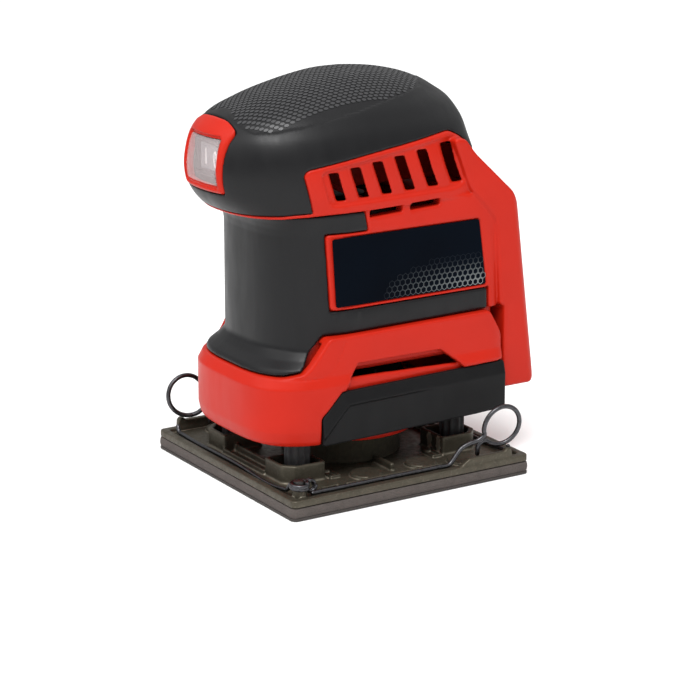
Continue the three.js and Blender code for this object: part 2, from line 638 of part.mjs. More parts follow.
// A ball bearing as one closed ring with a shallow shield groove in its upper face.
function bearing(outer, inner, z0, z1, x, y) {
  const [inside, outside] = [inner + (outer - inner) * 0.35, inner + (outer - inner) * 0.65];
  return cut(ring(outer, inner, z0, z1, x, y, 16), ring(outside, inside, z1 - 0.4, z1 + 1, x, y, 16));
}

function pillar(sx, sy) {
  const { radius, bottom, top, spigot, spigotTop } = PILLAR;
  const profile = [[0, bottom], [radius, bottom]];
  for (let z = bottom + 3.2; z < top - 2; z += 4.2) {
    profile.push([radius, z - 0.8], [radius - 0.8, z], [radius, z + 0.8]);
  }
  profile.push([radius, top], [spigot, top], [spigot, spigotTop], [0, spigotTop]);
  return turned(profile, sx * POCKET.x, sy * POCKET.y + ORBIT, 12);
}

function framePlate() {
  const level = [FRAME_PLATE.bottom, FRAME_PLATE.top].map((z) => ({ ...SKIRT_RING[1], z }));
  let made = join(
    loft(level, 4.6),
    round(FRAME_PLATE.drum, FRAME_PLATE.drumBottom, FRAME_PLATE.top, 0, MOTOR_Y, 32),
  );
  made = cut(made, round(FRAME_PLATE.drumBore, 10, 40, 0, MOTOR_Y, 32));
  for (const sx of [-1, 1]) {
    for (const sy of [-1, 1]) {
      const hole = round(PILLAR.spigot + 0.25, 20, 30, sx * POCKET.x, sy * POCKET.y + ORBIT, 10);
      made = cut(made, hole);
    }
  }
  return made;
}

// ---- Switch, terminals and leads ----
function switchBody() {
  const made = box(-10.6, 10.6, -60.2, -40, 126, 140);
  const mouth = box(-9.8, 9.8, -70, -52, 127.2, 138.8);
  return cut(made, mouth);
}

function rocker() {
  const plan = [[-9, -59.8], [0, -58.6], [9, -59.8], [9, -57.6], [2.5, -53], [-2.5, -53], [-9, -57.6]];
  const geometry = geometryOf(upright(plan, 127.6, 138.4));
  geometry.translate(0, -SWITCH.pivotY, 0);
  geometry.rotateZ(THREE.MathUtils.degToRad(SWITCH.off));
  geometry.translate(0, SWITCH.pivotY, 0);
  return solid(geometry);
}

function terminalBlock() {
  const [z0, z1] = [FOOT.bayBottom + 2, FOOT.bayBottom + 16];
  const back = (z) => footRear(z) - FOOT.bayDepth + GAP;
  const side = [[back(z0), z0], [back(z0) + 6, z0], [back(z1) + 6, z1], [back(z1), z1]];
  const blocks = sideways(side, -18, 18);
  return cut(blocks, ...[-12, -4, 4, 12].map((x) => box(x - 0.7, x + 0.7, 50, 80, z0 + 3, z1 + 1)));
}

function blade(x) {
  const [z0, z1] = [FOOT.bayBottom + 5.3, FOOT.bayBottom + 22];
  const [y0, y1] = [z0, z1].map((z) => footRear(z) - FOOT.bayDepth + 1.2);
  const side = [[y0, z0], [y0 + 6.4, z0], [y1 + 5, z1 - 2], [y1 + 4, z1], [y1, z1]];
  return sideways(side, x - 0.4, x + 0.4);
}

const SWITCH_LEAD = [
  [-6, 46.5, 80], [-9, 41, 92], [-9, 33, 104], [-9, 28, 115], [-8, 8, 121], [-6, -24, 128], [-6, -39.4, 132],
];
const MOTOR_LEAD = [
  [6, -39.4, 132], [9, -26, 126], [13, -10, 118], [16.4, 0.5, 112], [16.6, 1, 106.4], [14.6, 1, 104.4],
];
const RETURN_LEAD = [
  [-14.6, 1, 104.4], [-16.8, 4, 107], [-16, 16, 111], [-14, 28, 106], [-12, 38, 94], [-12, 46.5, 80],
];
const lead = (points) => swept(smoothLine(points.map((p) => point(...p))), 1.1, 6, 16);

// ---- The sander ----
const sander = new THREE.Group();

function add(name, made, look) {
  const mesh = new THREE.Mesh(geometryOf(made), look);
  mesh.name = name;
  sander.add(mesh);
}

// The housing and what is fixed to it.
const shell = housingShell();
add("housing_right", shell.intersect(box(GAP / 2, 60, -90, 90, 0, 200)), RED);
add("housing_left", shell.intersect(box(-60, -GAP / 2, -90, 90, 0, 200)), RED);
for (const [place, [y, z]] of Object.entries(HOUSING_SCREWS)) {
  const shank = across(SCREW.radius, SCREW.headTo - 0.1, SCREW.tip, y, z);
  add(`housing_screw_${place}`, shank.add(across(SCREW.head, SCREW.headFrom, SCREW.headTo, y, z)), STEEL);
}
add("lower_housing", lowerHousing(), RED);
add("front_grip", frontGrip(), BLACK);
add("head_grip", headGrip(), BLACK);
const labelPlate = widened(LABEL_FACE, -GAP);
add("side_panel_right", sideways(SIDE_PANEL, SIDE_SEAT + GAP, SIDE_FACE), BLACK);
add("side_panel_left", sideways(SIDE_PANEL, -SIDE_FACE, -SIDE_SEAT - GAP), BLACK);
add("label_right", sideways(labelPlate, LABEL_SEAT + GAP, LABEL_OUT), LABEL);
add("label_left", sideways(labelPlate, -LABEL_OUT, -LABEL_SEAT - GAP), LABEL);
add("frame_plate", framePlate(), RED);
for (const [sx, side] of [[1, "right"], [-1, "left"]]) {
  for (const [sy, end] of [[-1, "front"], [1, "rear"]]) {
    add(`pillar_${end}_${side}`, pillar(sx, sy), RUBBER);
  }
}

// The switch.
add("switch_frame", switchFrame(), RED);
add("switch_cover", switchCover(), CLEAR);
add("switch_body", switchBody(), BLACK);
add("rocker", rocker(), GREY);

// The battery contacts and the leads inside the housing.
add("terminal_block", terminalBlock(), BLACK);
add("terminal_plus", blade(-12), BRASS);
add("terminal_minus", blade(12), BRASS);
add("terminal_sense", blade(-4), BRASS);
add("lead_switch", lead(SWITCH_LEAD), RED_LEAD);
add("lead_motor", lead(MOTOR_LEAD), RED_LEAD);
add("lead_return", lead(RETURN_LEAD), RUBBER);

// The motor.
add("motor_can", motorCan(), STEEL);
add("motor_magnet_right", magnet(1), DARK_STEEL);
add("motor_magnet_left", magnet(-1), DARK_STEEL);
add("motor_end_cap", endCap(), BLACK);
add("brush_right", brush(BRUSH.from, BRUSH.to), DARK_STEEL);
add("brush_left", brush(-BRUSH.to, -BRUSH.from), DARK_STEEL);
add("bearing_upper", bearing(5.4, 2.6, 107.8, 111.2, 0, MOTOR_Y), STEEL);
add("bearing_lower", bearing(8, 2.6, 47.9, 51.6, 0, MOTOR_Y), STEEL);

// What turns with the motor.
const drive = rotorPieces();
add("motor_shaft", drive.shaft, STEEL);
add("armature", drive.armature, COPPER);
add("commutator", drive.commutator, COPPER);
add("cooling_fan", drive.fan, BLACK);
add("centre_screw", drive.screw, STEEL);
add("counterweight", drive.weight, DARK_STEEL);

// The clamp plate and its pad.
add("base_plate", basePlate(), CAST);
add("plate_bearing", bearing(13, 4.7, 8.5, 15.4, 0, 0), STEEL);
add("seal_ring", ring(24.5, 21.2, 6.8, 16.4, 0, 0, 32), FELT);
add("foam_pad", slab(PAD.width, PAD.length, PAD.corner, 0, PAD.thick), FOAM);
add("clamp_eyelet_right", clampEyelet(), DARK_STEEL);
add("clamp_eyelet_left", turnedHalf(clampEyelet()), DARK_STEEL);
add("clamp_wire_right", clampWire(), DARK_STEEL);
add("clamp_wire_left", turnedHalf(clampWire()), DARK_STEEL);

export default sander;
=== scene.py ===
import math

import bmesh
import bpy
import numpy as np
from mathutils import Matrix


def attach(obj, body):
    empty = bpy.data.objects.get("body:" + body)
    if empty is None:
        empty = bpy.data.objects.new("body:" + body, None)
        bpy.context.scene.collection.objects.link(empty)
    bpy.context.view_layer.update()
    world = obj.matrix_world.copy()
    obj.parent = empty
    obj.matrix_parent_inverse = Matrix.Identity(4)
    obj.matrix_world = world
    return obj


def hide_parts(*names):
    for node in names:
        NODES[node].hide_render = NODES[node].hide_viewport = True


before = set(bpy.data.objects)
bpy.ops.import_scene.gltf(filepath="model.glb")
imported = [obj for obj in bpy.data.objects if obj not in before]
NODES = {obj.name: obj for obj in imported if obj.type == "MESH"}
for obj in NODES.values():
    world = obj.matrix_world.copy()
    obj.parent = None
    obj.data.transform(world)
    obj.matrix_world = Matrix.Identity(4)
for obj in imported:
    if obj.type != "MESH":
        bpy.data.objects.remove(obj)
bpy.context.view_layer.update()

import openvdb
from mathutils import Matrix, Vector
from mathutils.bvhtree import BVHTree

# The look of the cordless orbital sander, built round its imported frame. The moulded parts are measured as
# signed distances in millimetres, cut and rounded there, and then turned into meshes in metres.

MM = 0.001

# ---- Dimensions in millimetres, as in the CAD ----
GAP = 0.3
PANEL_GAP = 0.35  # dark line left round a side panel
MOTOR_Y = 1.0
WALL = 2.6
SLEEVE = 2.0
FOOT_HALF = 36.3
BAY_HALF, BAY_DEPTH, BAY_BOTTOM, BAY_LIP, BAY_LIP_THICK = 26.0, 11.0, 40.0, 3.5, 2.8

# Body sections: z, half width, front y, rear y, widest y, roundness of the front, roundness of the rear.
SKIRT = [
    (22, 38, -53.6, 54.6, -15, 3.3, 26), (24, 38.6, -54.9, 55, -15, 3.3, 26),
    (28, 39, -55.8, 55, -15, 3.3, 26), (45.6, 39, -55.8, 55, -15, 3.3, 26),
    (49.6, 38, -53.4, 55, -15, 3.3, 26), (66, 38, -53.4, 55, -15, 3.3, 26),
]
COLUMN = [(30, 35.4, -46, 54, -10, 2.6, 26), (125, 35.4, -46, 54, -10, 2.6, 26)]
SLEEVE_ROWS = [
    (49.4, 37.6, -53.2, 55, -15, 3.2, 26), (52.5, 37, -51.8, 55, -14.5, 3.1, 26),
    (55.5, 36, -48.6, 54.4, -12, 2.8, 26), (58.5, 35.4, -46.4, 54, -10, 2.6, 26),
    (60, 35.4, -46, 54, -10, 2.6, 26), (104, 35.4, -46, 54, -10, 2.6, 26),
    (107, 35.4, -46.6, 54, -10, 2.6, 26), (109.5, 35.45, -47.8, 54, -10, 2.6, 26),
    (111.6, 35.5, -49.6, 54, -10, 2.6, 26), (114, 35.5, -51, 54, -10, 2.6, 26),
]
HEAD = [
    (107.4, 35.4, -46.4, 48, -10, 2.6, 6), (110, 35.8, -52.6, 49, -10, 2.6, 6),
    (114, 36.1, -58.4, 50, -10, 2.4, 6), (120, 36.7, -63.2, 50, -10, 2.4, 5.2),
    (128, 37, -65.3, 50, -10, 2.4, 4.3), (136, 36.5, -64.7, 49.6, -10, 2.35, 3.3),
    (142, 34.8, -63, 49.3, -9, 2.3, 2.8), (148, 31.2, -58.6, 47, -7.5, 2.2, 2.4),
    (154, 25.6, -47, 40, -6, 2.15, 2.2), (159, 19, -31.5, 30.6, -4, 2.1, 2.1),
    (162.4, 12.2, -17, 18.2, -2.6, 2, 2), (164.3, 3, -6, 4, -1, 2, 2),
]

# Side outlines, as (y, z).
SEAM = [(-80, 112.2), (-52, 111.8), (-44, 112), (-38, 112.6), (-26, 113.1), (60, 113.4)]
LIP = 1.3  # red edge that shows under the head grip
SHELF_TOP = 113.5
VENT_PANEL = [
    (-33, 113.4), (-37.6, 129.4), (-36, 131.3), (-27, 132.8), (-9.7, 135.4), (9.3, 137.8), (22.4, 139.4),
    (30, 140.1), (36.4, 137.3), (60, 120), (60, 113.4),
]
VENT_FIELD = [
    (-31, 130), (-26.6, 116.4), (31, 117.6), (36, 119), (34, 137.6), (22, 137.2), (4.4, 135), (-18.5, 132),
]
# The slanted vents: the first one's top and bottom corners, and the steps to the next.
SLOT_COUNT, SLOT_WIDTH, SLOT_SLANT = 6, 4.8, 1.1
SLOT_TOP, SLOT_TOP_STEP = (-29.2, 129.4), (10.1, 1.25)
SLOT_LOW, SLOT_LOW_STEP = (-25.7, 118.1), (10.7, 0.3)
LEVEL_SLOTS = [
    [(-8.7, 110.1), (6.4, 110.8), (6.4, 113.4), (-8.7, 113)],
    [(10.1, 110.9), (24, 111.5), (24, 114.2), (10.1, 113.8)],
]
BUMPER_TOP = [
    (-80, 49.2), (-45, 49.8), (-38.6, 51.3), (-36, 53.7), (-28.3, 64.6), (47.4, 65.6), (54, 54.8), (55, 47.5),
    (58, 44.2), (58, 25.8), (4, 24.2), (-20, 21.5), (-80, 21.5),
]
# The fine line that runs beside the grip's edge, as one side of a narrow strip.
CREASE = [(-19.2, 68), (-25, 53.9), (-31.4, 49.4), (-60, 50.0)]
SIDE_PANEL = [(-23.2, 42.6), (54.4, 44.1), (54.4, 24.2), (4, 22.6), (-32.2, 21.9), (-32.2, 32.9)]
BAND_OPENING = [(-21.9, 42.6), (-15.4, 53), (23.3, 52.6), (34.4, 44.4), (34, 42), (-22.4, 42)]
AIR_OUTLET = [(-20, 47.4), (36, 45.7), (36, 60), (-20, 60)]
LABEL_FACE = [(-24.4, 75.8), (47, 76.2), (43.2, 103.8), (-26.2, 103.8)]
LABEL_SEAT, LABEL_IN, LABEL_OUT = 34.5, 34.8, 35.5
LABEL_FIELD = [(-25.8, 74.7), (48.3, 75), (44.4, 104.9), (-27.6, 104.9)]
BARE_COLUMN = [
    (-9.2, 103), (-9.2, 105.2), (-11.4, 114.5), (60, 114.5), (60, 66.2), (48.5, 66.2), (48.4, 75.2),
    (44, 76), (41, 103),
]
FRONT_GRIP = [
    (-80, 49.9), (-46, 50.4), (-39, 52), (-36.4, 54.3), (-28.8, 65.1), (47.6, 66.1), (47.4, 74.6),
    (-26.1, 74.3), (-28, 105.3), (-9.5, 105.3), (-11.3, 112.9), (-26, 112.8), (-38, 112.3), (-44, 111.7),
    (-52, 111.5), (-80, 111.5),
]
FOOT_TOP, FOOT_LOW = (63.1, 107.5), (72.2, 37)
FOOT_SIDE = [
    (55.6, 31.6), (70, 31.6), (72, 33.6), FOOT_LOW, FOOT_TOP, (60.1, 112.4), (40.8, 130.3), (35.5, 137),
    (30, 137), (38, 116.5), (47.9, 106), (50.9, 102), (53.4, 67), (55.6, 66),
]
HOUSING_SCREWS = {"upper": (41.5, 109.6), "middle": (49.6, 89), "lower": (49.6, 70.6), "foot": (62.5, 35.8)}
SCREW_RADIUS, SCREW_HOLE, SCREW_HEAD, SCREW_SEAT, BOSS, BOSS_END = 1.4, 1.7, 2.8, 3.1, 3.7, 31
SCREW_FROM, SCREW_TO, SCREW_TIP = -31.4, -29.2, 10

SWITCH_Z, SWITCH_BACK, SWITCH_TOP = 133, -56.6, 149.4
SWITCH_OUTLINE = [
    (-14.2, 121.4), (14.2, 121.4), (14.5, 137), (15.6, 146.8), (11.4, 156), (-11.4, 156), (-15.6, 146.8),
    (-14.5, 137),
]
SWITCH_WINDOW = [(-11.4, 124.2), (11.4, 124.2), (11, 142.2), (-11, 142.2)]

# ---- Distances ----


class Block:
    """A box of sample points, step millimetres apart."""

    def __init__(self, low, high, step):
        self.step = step
        self.first = np.floor(np.array(low) / step).astype(int)
        last = np.ceil(np.array(high) / step).astype(int)
        self.shape = tuple(last - self.first + 1)
        spans = [slice(a * step, (b + 0.5) * step, step) for a, b in zip(self.first, last)]
        self.x, self.y, self.z = np.ogrid[tuple(spans)]


def both(a, b, r=0.0):
    """What two shapes share, with the edge between them rounded to radius r."""
    if not r:
        return np.maximum(a, b)
    u, v = np.maximum(r + a, 0), np.maximum(r + b, 0)
    return np.minimum(-r, np.maximum(a, b)) + np.sqrt(u * u + v * v)


def either(a, b, r=0.0):
    """Two shapes joined, with a fillet of radius r where they meet."""
    return -both(-a, -b, r)


def without(a, b, r=0.0):
    """The first shape with the second cut out of it."""
    return both(a, -b, r)


def polygon(points, p, q):
    """Distance to a closed outline in the plane of p and q, negative inside."""
    nearest = np.full(np.broadcast(p, q).shape, 1e9)
    inside = np.zeros(nearest.shape, bool)
    points = np.array(points, float)
    for (a, b), (c, d) in zip(points, np.roll(points, -1, 0)):
        e, f = c - a, d - b
        t = np.clip(((p - a) * e + (q - b) * f) / (e * e + f * f), 0, 1)
        nearest = np.minimum(nearest, (p - a - t * e) ** 2 + (q - b - t * f) ** 2)
        if f:
            inside ^= ((b > q) != (d > q)) & (p < e * (q - b) / f + a)
    return np.where(inside, -1, 1) * np.sqrt(nearest)


def softened(points, size, steps=6):
    """An outline with each corner turned into a curve that starts size before it."""
    points = np.array(points, float)
    made = []
    for before, at, after in zip(np.roll(points, 1, 0), points, np.roll(points, -1, 0)):
        a, b = before - at, after - at
        la, lb = np.linalg.norm(a), np.linalg.norm(b)
        reach = min(size, 0.45 * la, 0.45 * lb)
        start, end = at + a / la * reach, at + b / lb * reach
        for t in np.linspace(0, 1, steps):
            made.append((1 - t) ** 2 * start + 2 * t * (1 - t) * at + t * t * end)
    return made


def through(rows, count):
    """A smooth run of rows through the given ones."""
    rows = np.array(rows, float)
    t = np.concatenate([[0], np.cumsum(np.linalg.norm(np.diff(rows[:, :4], axis=0), axis=1))])
    slopes = np.gradient(rows, t, axis=0)
    s = np.linspace(0, t[-1], count)
    k = np.clip(np.searchsorted(t, s) - 1, 0, len(t) - 2)
    h = (t[k + 1] - t[k])[:, None]
    u = (s[:, None] - t[k][:, None]) / h
    return (
        (2 * u**3 - 3 * u**2 + 1) * rows[k] + (u**3 - 2 * u**2 + u) * h * slopes[k]
        + (3 * u**2 - 2 * u**3) * rows[k + 1] + (u**3 - u**2) * h * slopes[k + 1]
    )


def loft_mesh(rows, around=160):
    """Points and quads of the closed body through a stack of sections."""
    angle = 2 * np.pi * (np.arange(around) + 0.5) / around
    c, d = np.cos(angle), np.sin(angle)
    points, quads = [], []
    for z, half, front, rear, middle, power, rear_power in rows:
        p = np.where(d > 0, rear_power, power)
        reach = np.where(d > 0, rear - middle, middle - front)
        x = half * np.sign(c) * np.abs(c) ** (2 / p)
        y = middle + reach * np.sign(d) * np.abs(d) ** (2 / p)
        points.append(np.stack([x, y, np.full(around, z)], 1))
    ring = np.arange(around)
    after = (ring + 1) % around
    for level in range(len(rows) - 1):
        low, high = level * around, (level + 1) * around
        quads.append(np.stack([low + ring, low + after, high + after, high + ring], 1))
    flat = np.concatenate(points)
    centres = np.array([flat[:around].mean(0), flat[-around:].mean(0)])
    bottom, top, last = len(flat), len(flat) + 1, (len(rows) - 1) * around
    caps = [
        np.stack([np.full(around, bottom), after, ring], 1),
        np.stack([np.full(around, top), last + ring, last + after], 1),
    ]
    return np.concatenate([flat, centres]), np.concatenate(quads), np.concatenate(caps)


def loft(block, rows, smooth=0, reach=7.0):
    """Distance to a lofted body. smooth is how many rows to draw through its sections."""
    points, quads, caps = loft_mesh(through(rows, smooth) if smooth else rows)
    grid = openvdb.FloatGrid.createLevelSetFromPolygons(
        (points / block.step).astype(np.float32),
        triangles=caps.astype(np.uint32),
        quads=quads.astype(np.uint32),
        halfWidth=reach / block.step,
    )
    field = np.empty(block.shape, np.float32)
    grid.copyToArray(field, ijk=tuple(int(i) for i in block.first))
    return field * block.step


def sideways(block, points, soften=0.0):
    """An outline of (y, z) points, without end along X."""
    return polygon(softened(points, soften) if soften else points, block.y, block.z)


def lengthways(block, points, soften=0.0):
    """An outline of (x, z) points, without end along Y."""
    return polygon(softened(points, soften) if soften else points, block.x, block.z)


def upright(block, points, soften=0.0):
    """An outline of (x, y) points, without end along Z."""
    return polygon(softened(points, soften) if soften else points, block.x, block.y)


def rod_x(block, y, z, radius):
    return np.hypot(block.y - y, block.z - z) - radius


def rod_z(block, x, y, radius):
    return np.hypot(block.x - x, block.y - y) - radius


def band(line, low, high):
    """Distance to the slab between two values of one coordinate."""
    return np.maximum(low - line, line - high)


def slab(block, half_x, half_y, corner):
    """A rectangle with round corners, without end along Z."""
    dx, dy = np.abs(block.x) - half_x + corner, np.abs(block.y) - half_y + corner
    outside = np.sqrt(np.maximum(dx, 0) ** 2 + np.maximum(dy, 0) ** 2)
    return outside + np.minimum(np.maximum(dx, dy), 0) - corner


# ---- Meshes ----


def sample(field, points):
    """The field and its slope at fractional sample positions."""
    low = np.clip(np.floor(points).astype(int), 0, np.array(field.shape) - 2)
    u, v, w = (points - low).T
    i, j, k = low.T
    c = {(a, b, d): field[i + a, j + b, k + d] for a in (0, 1) for b in (0, 1) for d in (0, 1)}
    c00 = c[0, 0, 0] * (1 - u) + c[1, 0, 0] * u
    c10 = c[0, 1, 0] * (1 - u) + c[1, 1, 0] * u
    c01 = c[0, 0, 1] * (1 - u) + c[1, 0, 1] * u
    c11 = c[0, 1, 1] * (1 - u) + c[1, 1, 1] * u
    low_z, high_z = c00 * (1 - v) + c10 * v, c01 * (1 - v) + c11 * v
    value = low_z * (1 - w) + high_z * w
    dx = sum(
        (c[1, b, d] - c[0, b, d]) * (v if b else 1 - v) * (w if d else 1 - w) for b in (0, 1) for d in (0, 1)
    )
    dy = (c10 - c00) * (1 - w) + (c11 - c01) * w
    return value, np.stack([dx, dy, high_z - low_z], 1)


def mesh_object(name, points, faces, look):
    """An object from points in millimetres and faces that all have as many corners."""
    mesh = bpy.data.meshes.new(name)
    faces = np.asarray(faces)
    corners = faces.shape[1]
    mesh.vertices.add(len(points))
    mesh.vertices.foreach_set("co", (np.asarray(points) * MM).astype(np.float32).ravel())
    mesh.loops.add(faces.size)
    mesh.loops.foreach_set("vertex_index", faces.astype(np.int32).ravel())
    mesh.polygons.add(len(faces))
    mesh.polygons.foreach_set("loop_start", np.arange(0, faces.size, corners, dtype=np.int32))
    mesh.update(calc_edges=True)
    mesh.shade_smooth()
    made = bpy.data.objects.new(name, mesh)
    bpy.context.scene.collection.objects.link(made)
    mesh.materials.append(look)
    return made


def shape_mesh(field, block):
    """The surface of a field as points in millimetres and quads that face out."""
    closed = np.pad(field.astype(np.float32), 1, constant_values=2 * block.step)
    grid = openvdb.FloatGrid(100.0)
    grid.copyFromArray(closed)
    points, quads = grid.convertToQuads(0.0)
    points = points.astype(float)
    for _ in range(2):
        value, slope = sample(closed, points)
        steep = np.maximum((slope**2).sum(1), 0.25 * block.step**2)
        move = -(value / steep)[:, None] * slope
        points += np.clip(move, -0.5, 0.5)
    millimetres = (points - 1 + block.first) * block.step
    return millimetres, quads[:, ::-1]


def applied(made):
    """The object with its modifiers made permanent."""
    bpy.context.view_layer.update()
    result = bpy.data.meshes.new_from_object(made.evaluated_get(bpy.context.evaluated_depsgraph_get()))
    old = made.data
    made.modifiers.clear()
    made.data = result
    result.name = made.name
    bpy.data.meshes.remove(old)
    return made


def moulded(name, field, block, body, finish, node, ratio=0.4, mirrored=False):
    """A moulded piece from its field, hung on its body. mirrored makes its twin on the other side."""
    points, quads = shape_mesh(field, block)
    if mirrored:
        points, quads = points * [-1, 1, 1], quads[:, ::-1]
    made = mesh_object(name, points, quads, LOOKS[finish])
    fewer_faces = made.modifiers.new("thin", "DECIMATE")
    fewer_faces.ratio = ratio
    return put(applied(made), body, finish, node)


def skin(work, rings, ends=False):
    """Faces between neighbouring rings of corners, where a ring of one corner is a tip."""
    for low, high in zip(rings, rings[1:]):
        count = max(len(low), len(high))
        for i in range(count):
            j = (i + 1) % count
            corners = [low[i % len(low)], low[j % len(low)], high[j % len(high)], high[i % len(high)]]
            work.faces.new(list(dict.fromkeys(corners)))
    if ends:
        work.faces.new(rings[0][::-1])
        work.faces.new(rings[-1])


def from_bmesh(name, work, look, smooth_below=40):
    """An object from a bmesh in millimetres, smooth where its faces meet at a small angle."""
    bmesh.ops.recalc_face_normals(work, faces=work.faces)
    mesh = bpy.data.meshes.new(name)
    work.to_mesh(mesh)
    work.free()
    mesh.transform(Matrix.Scale(MM, 4))
    mesh.materials.append(look)
    made = bpy.data.objects.new(name, mesh)
    bpy.context.scene.collection.objects.link(made)
    mesh.shade_smooth()
    mesh.set_sharp_from_angle(angle=math.radians(smooth_below))
    return made


def turned(name, profile, look, x, y, sides):
    """A solid of revolution about a vertical line, from (radius, z) points that start and end on it."""
    work = bmesh.new()
    turn = [2 * math.pi * i / sides for i in range(sides)]
    rings = []
    for radius, z in profile:
        angles = turn if radius else turn[:1]
        ring = [(x + radius * math.cos(a), y + radius * math.sin(a), z) for a in angles]
        rings.append([work.verts.new(corner) for corner in ring])
    skin(work, rings)
    return from_bmesh(name, work, look, 30)


def tube(name, line, radius, look, sides, smooth=0):
    """A round bar along points, with domed ends."""
    line = through([tuple(p) + (0,) for p in line], smooth)[:, :3] if smooth else np.array(line, float)
    along = np.gradient(line, axis=0)
    along /= np.linalg.norm(along, axis=1)[:, None]
    side = np.cross(along[0], (0.31, 0.2, 0.93))
    frames = []
    for direction in along:
        side = side - direction * (side @ direction)
        side /= np.linalg.norm(side)
        frames.append((side.copy(), np.cross(direction, side)))
    stations = [(line[0] - along[0] * radius * 0.6, frames[0], radius * 0.75)]
    stations += [(p, f, radius) for p, f in zip(line, frames)]
    stations += [(line[-1] + along[-1] * radius * 0.6, frames[-1], radius * 0.75)]
    turn = 2 * np.pi * np.arange(sides) / sides
    work = bmesh.new()
    rings = []
    for centre, (a, b), r in stations:
        rings.append([work.verts.new(centre + r * (math.cos(t) * a + math.sin(t) * b)) for t in turn])
    skin(work, rings, ends=True)
    return from_bmesh(name, work, look, 50)


def flat_piece(name, points, x0, x1, look, rounding):
    """An outline of (y, z) points with thickness along X, its edges rounded."""
    work = bmesh.new()
    skin(work, [[work.verts.new((x, y, z)) for y, z in points] for x in (x0, x1)], ends=True)
    made = from_bmesh(name, work, look, 30)
    bevel = made.modifiers.new("edges", "BEVEL")
    bevel.width = rounding * MM
    bevel.segments = 3
    bevel.limit_method = "ANGLE"
    bevel.angle_limit = math.radians(50)
    return applied(made)


def put(made, body, slot, *nodes):
    """Hangs a finished piece on its body and hides the CAD nodes it stands for. Its slot is not used."""
    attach(made, body)
    if nodes:
        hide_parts(*nodes)
    return made


# ---- Materials ----


LOOKS = {}


class Look:
    """A material with one Principled shader, and the nodes that vary it over the surface."""

    def __init__(self, name, colour, roughness, metallic=0.0, specular=0.5, alpha=1.0):
        self.material = bpy.data.materials.new(name)
        self.material.use_nodes = True
        self.nodes = self.material.node_tree.nodes
        self.links = self.material.node_tree.links
        self.shader = self.nodes["Principled BSDF"]
        self.set(self.shader, {"Base Color": (*colour, 1), "Roughness": roughness, "Metallic": metallic})
        self.set(self.shader, {"Specular IOR Level": specular, "Alpha": alpha})
        self.height = None
        self.place = self.nodes.new("ShaderNodeTexCoord").outputs["Object"]
        LOOKS[name] = self.material

    @staticmethod
    def set(node, values):
        for key, value in values.items():
            node.inputs[key].default_value = value

    def node(self, kind, values=None, **settings):
        made = self.nodes.new(kind)
        for key, value in settings.items():
            setattr(made, key, value)
        self.set(made, values or {})
        return made

    def noise(self, size, detail, stretch=(1, 1, 1)):
        """Noise whose features are about size millimetres across."""
        spread = self.node("ShaderNodeMapping", {"Scale": [s / (size * MM) for s in stretch]})
        self.links.new(self.place, spread.inputs["Vector"])
        made = self.node("ShaderNodeTexNoise", {"Scale": 1.0, "Detail": detail, "Roughness": 0.55})
        self.links.new(spread.outputs[0], made.inputs["Vector"])
        return made.outputs["Fac"]

    def ranged(self, value, low, high, to_low, to_high):
        limits = {"From Min": low, "From Max": high, "To Min": to_low, "To Max": to_high}
        made = self.node("ShaderNodeMapRange", limits)
        self.links.new(value, made.inputs["Value"])
        return made.outputs["Result"]

    def tint(self, value, low, high, amount, colour):
        """Mixes colour in, from none where value is low to amount where it is high."""
        mix = self.node("ShaderNodeMix", data_type="RGBA")
        target = self.shader.inputs["Base Color"]
        if target.links:
            self.links.new(target.links[0].from_socket, mix.inputs["A"])
        else:
            mix.inputs["A"].default_value = target.default_value
        mix.inputs["B"].default_value = (*colour, 1)
        self.links.new(self.ranged(value, low, high, 0, amount), mix.inputs["Factor"])
        self.links.new(mix.outputs["Result"], target)
        return self

    def stain(self, size, detail, low, high, amount, colour):
        """Patches of another colour."""
        return self.tint(self.noise(size, detail), low, high, amount, colour)

    def edges(self, low, high, amount, colour):
        """Painted highlight where the surface turns sharply outwards."""
        sharp = self.node("ShaderNodeNewGeometry").outputs["Pointiness"]
        return self.tint(sharp, low, high, amount, colour)

    def gloss(self, size, detail, low, high, stretch=(1, 1, 1)):
        """Roughness that wanders between low and high."""
        rough = self.ranged(self.noise(size, detail, stretch), 0.3, 0.7, low, high)
        self.links.new(rough, self.shader.inputs["Roughness"])
        return self

    def bump(self, height, depth):
        """Adds relief depth millimetres deep."""
        made = self.node("ShaderNodeBump", {"Strength": 1.0, "Distance": depth * MM})
        self.links.new(height, made.inputs["Height"])
        if self.height:
            self.links.new(self.height, made.inputs["Normal"])
        self.height = made.outputs["Normal"]
        self.links.new(self.height, self.shader.inputs["Normal"])
        return self

    def grain(self, size, detail, depth, stretch=(1, 1, 1)):
        return self.bump(self.noise(size, detail, stretch), depth)

    def cells(self, size, depth):
        made = self.node("ShaderNodeTexVoronoi", {"Scale": 1 / (size * MM)}, feature="F1")
        self.links.new(self.place, made.inputs["Vector"])
        return self.bump(made.outputs["Distance"], depth)


def plastic(name, colour, roughness, grain, depth, specular=0.5):
    """Moulded plastic: spark-eroded grain, slow changes of gloss, faint handling marks."""
    look = Look(name, colour, roughness, specular=specular)
    look.stain(22, 2, 0.35, 0.7, 0.35, tuple(c * 0.82 for c in colour))
    look.gloss(5, 4, roughness - 0.05, roughness + 0.07, (1, 1, 0.25))
    return look.grain(grain, 2, depth).grain(6, 1, 0.02)


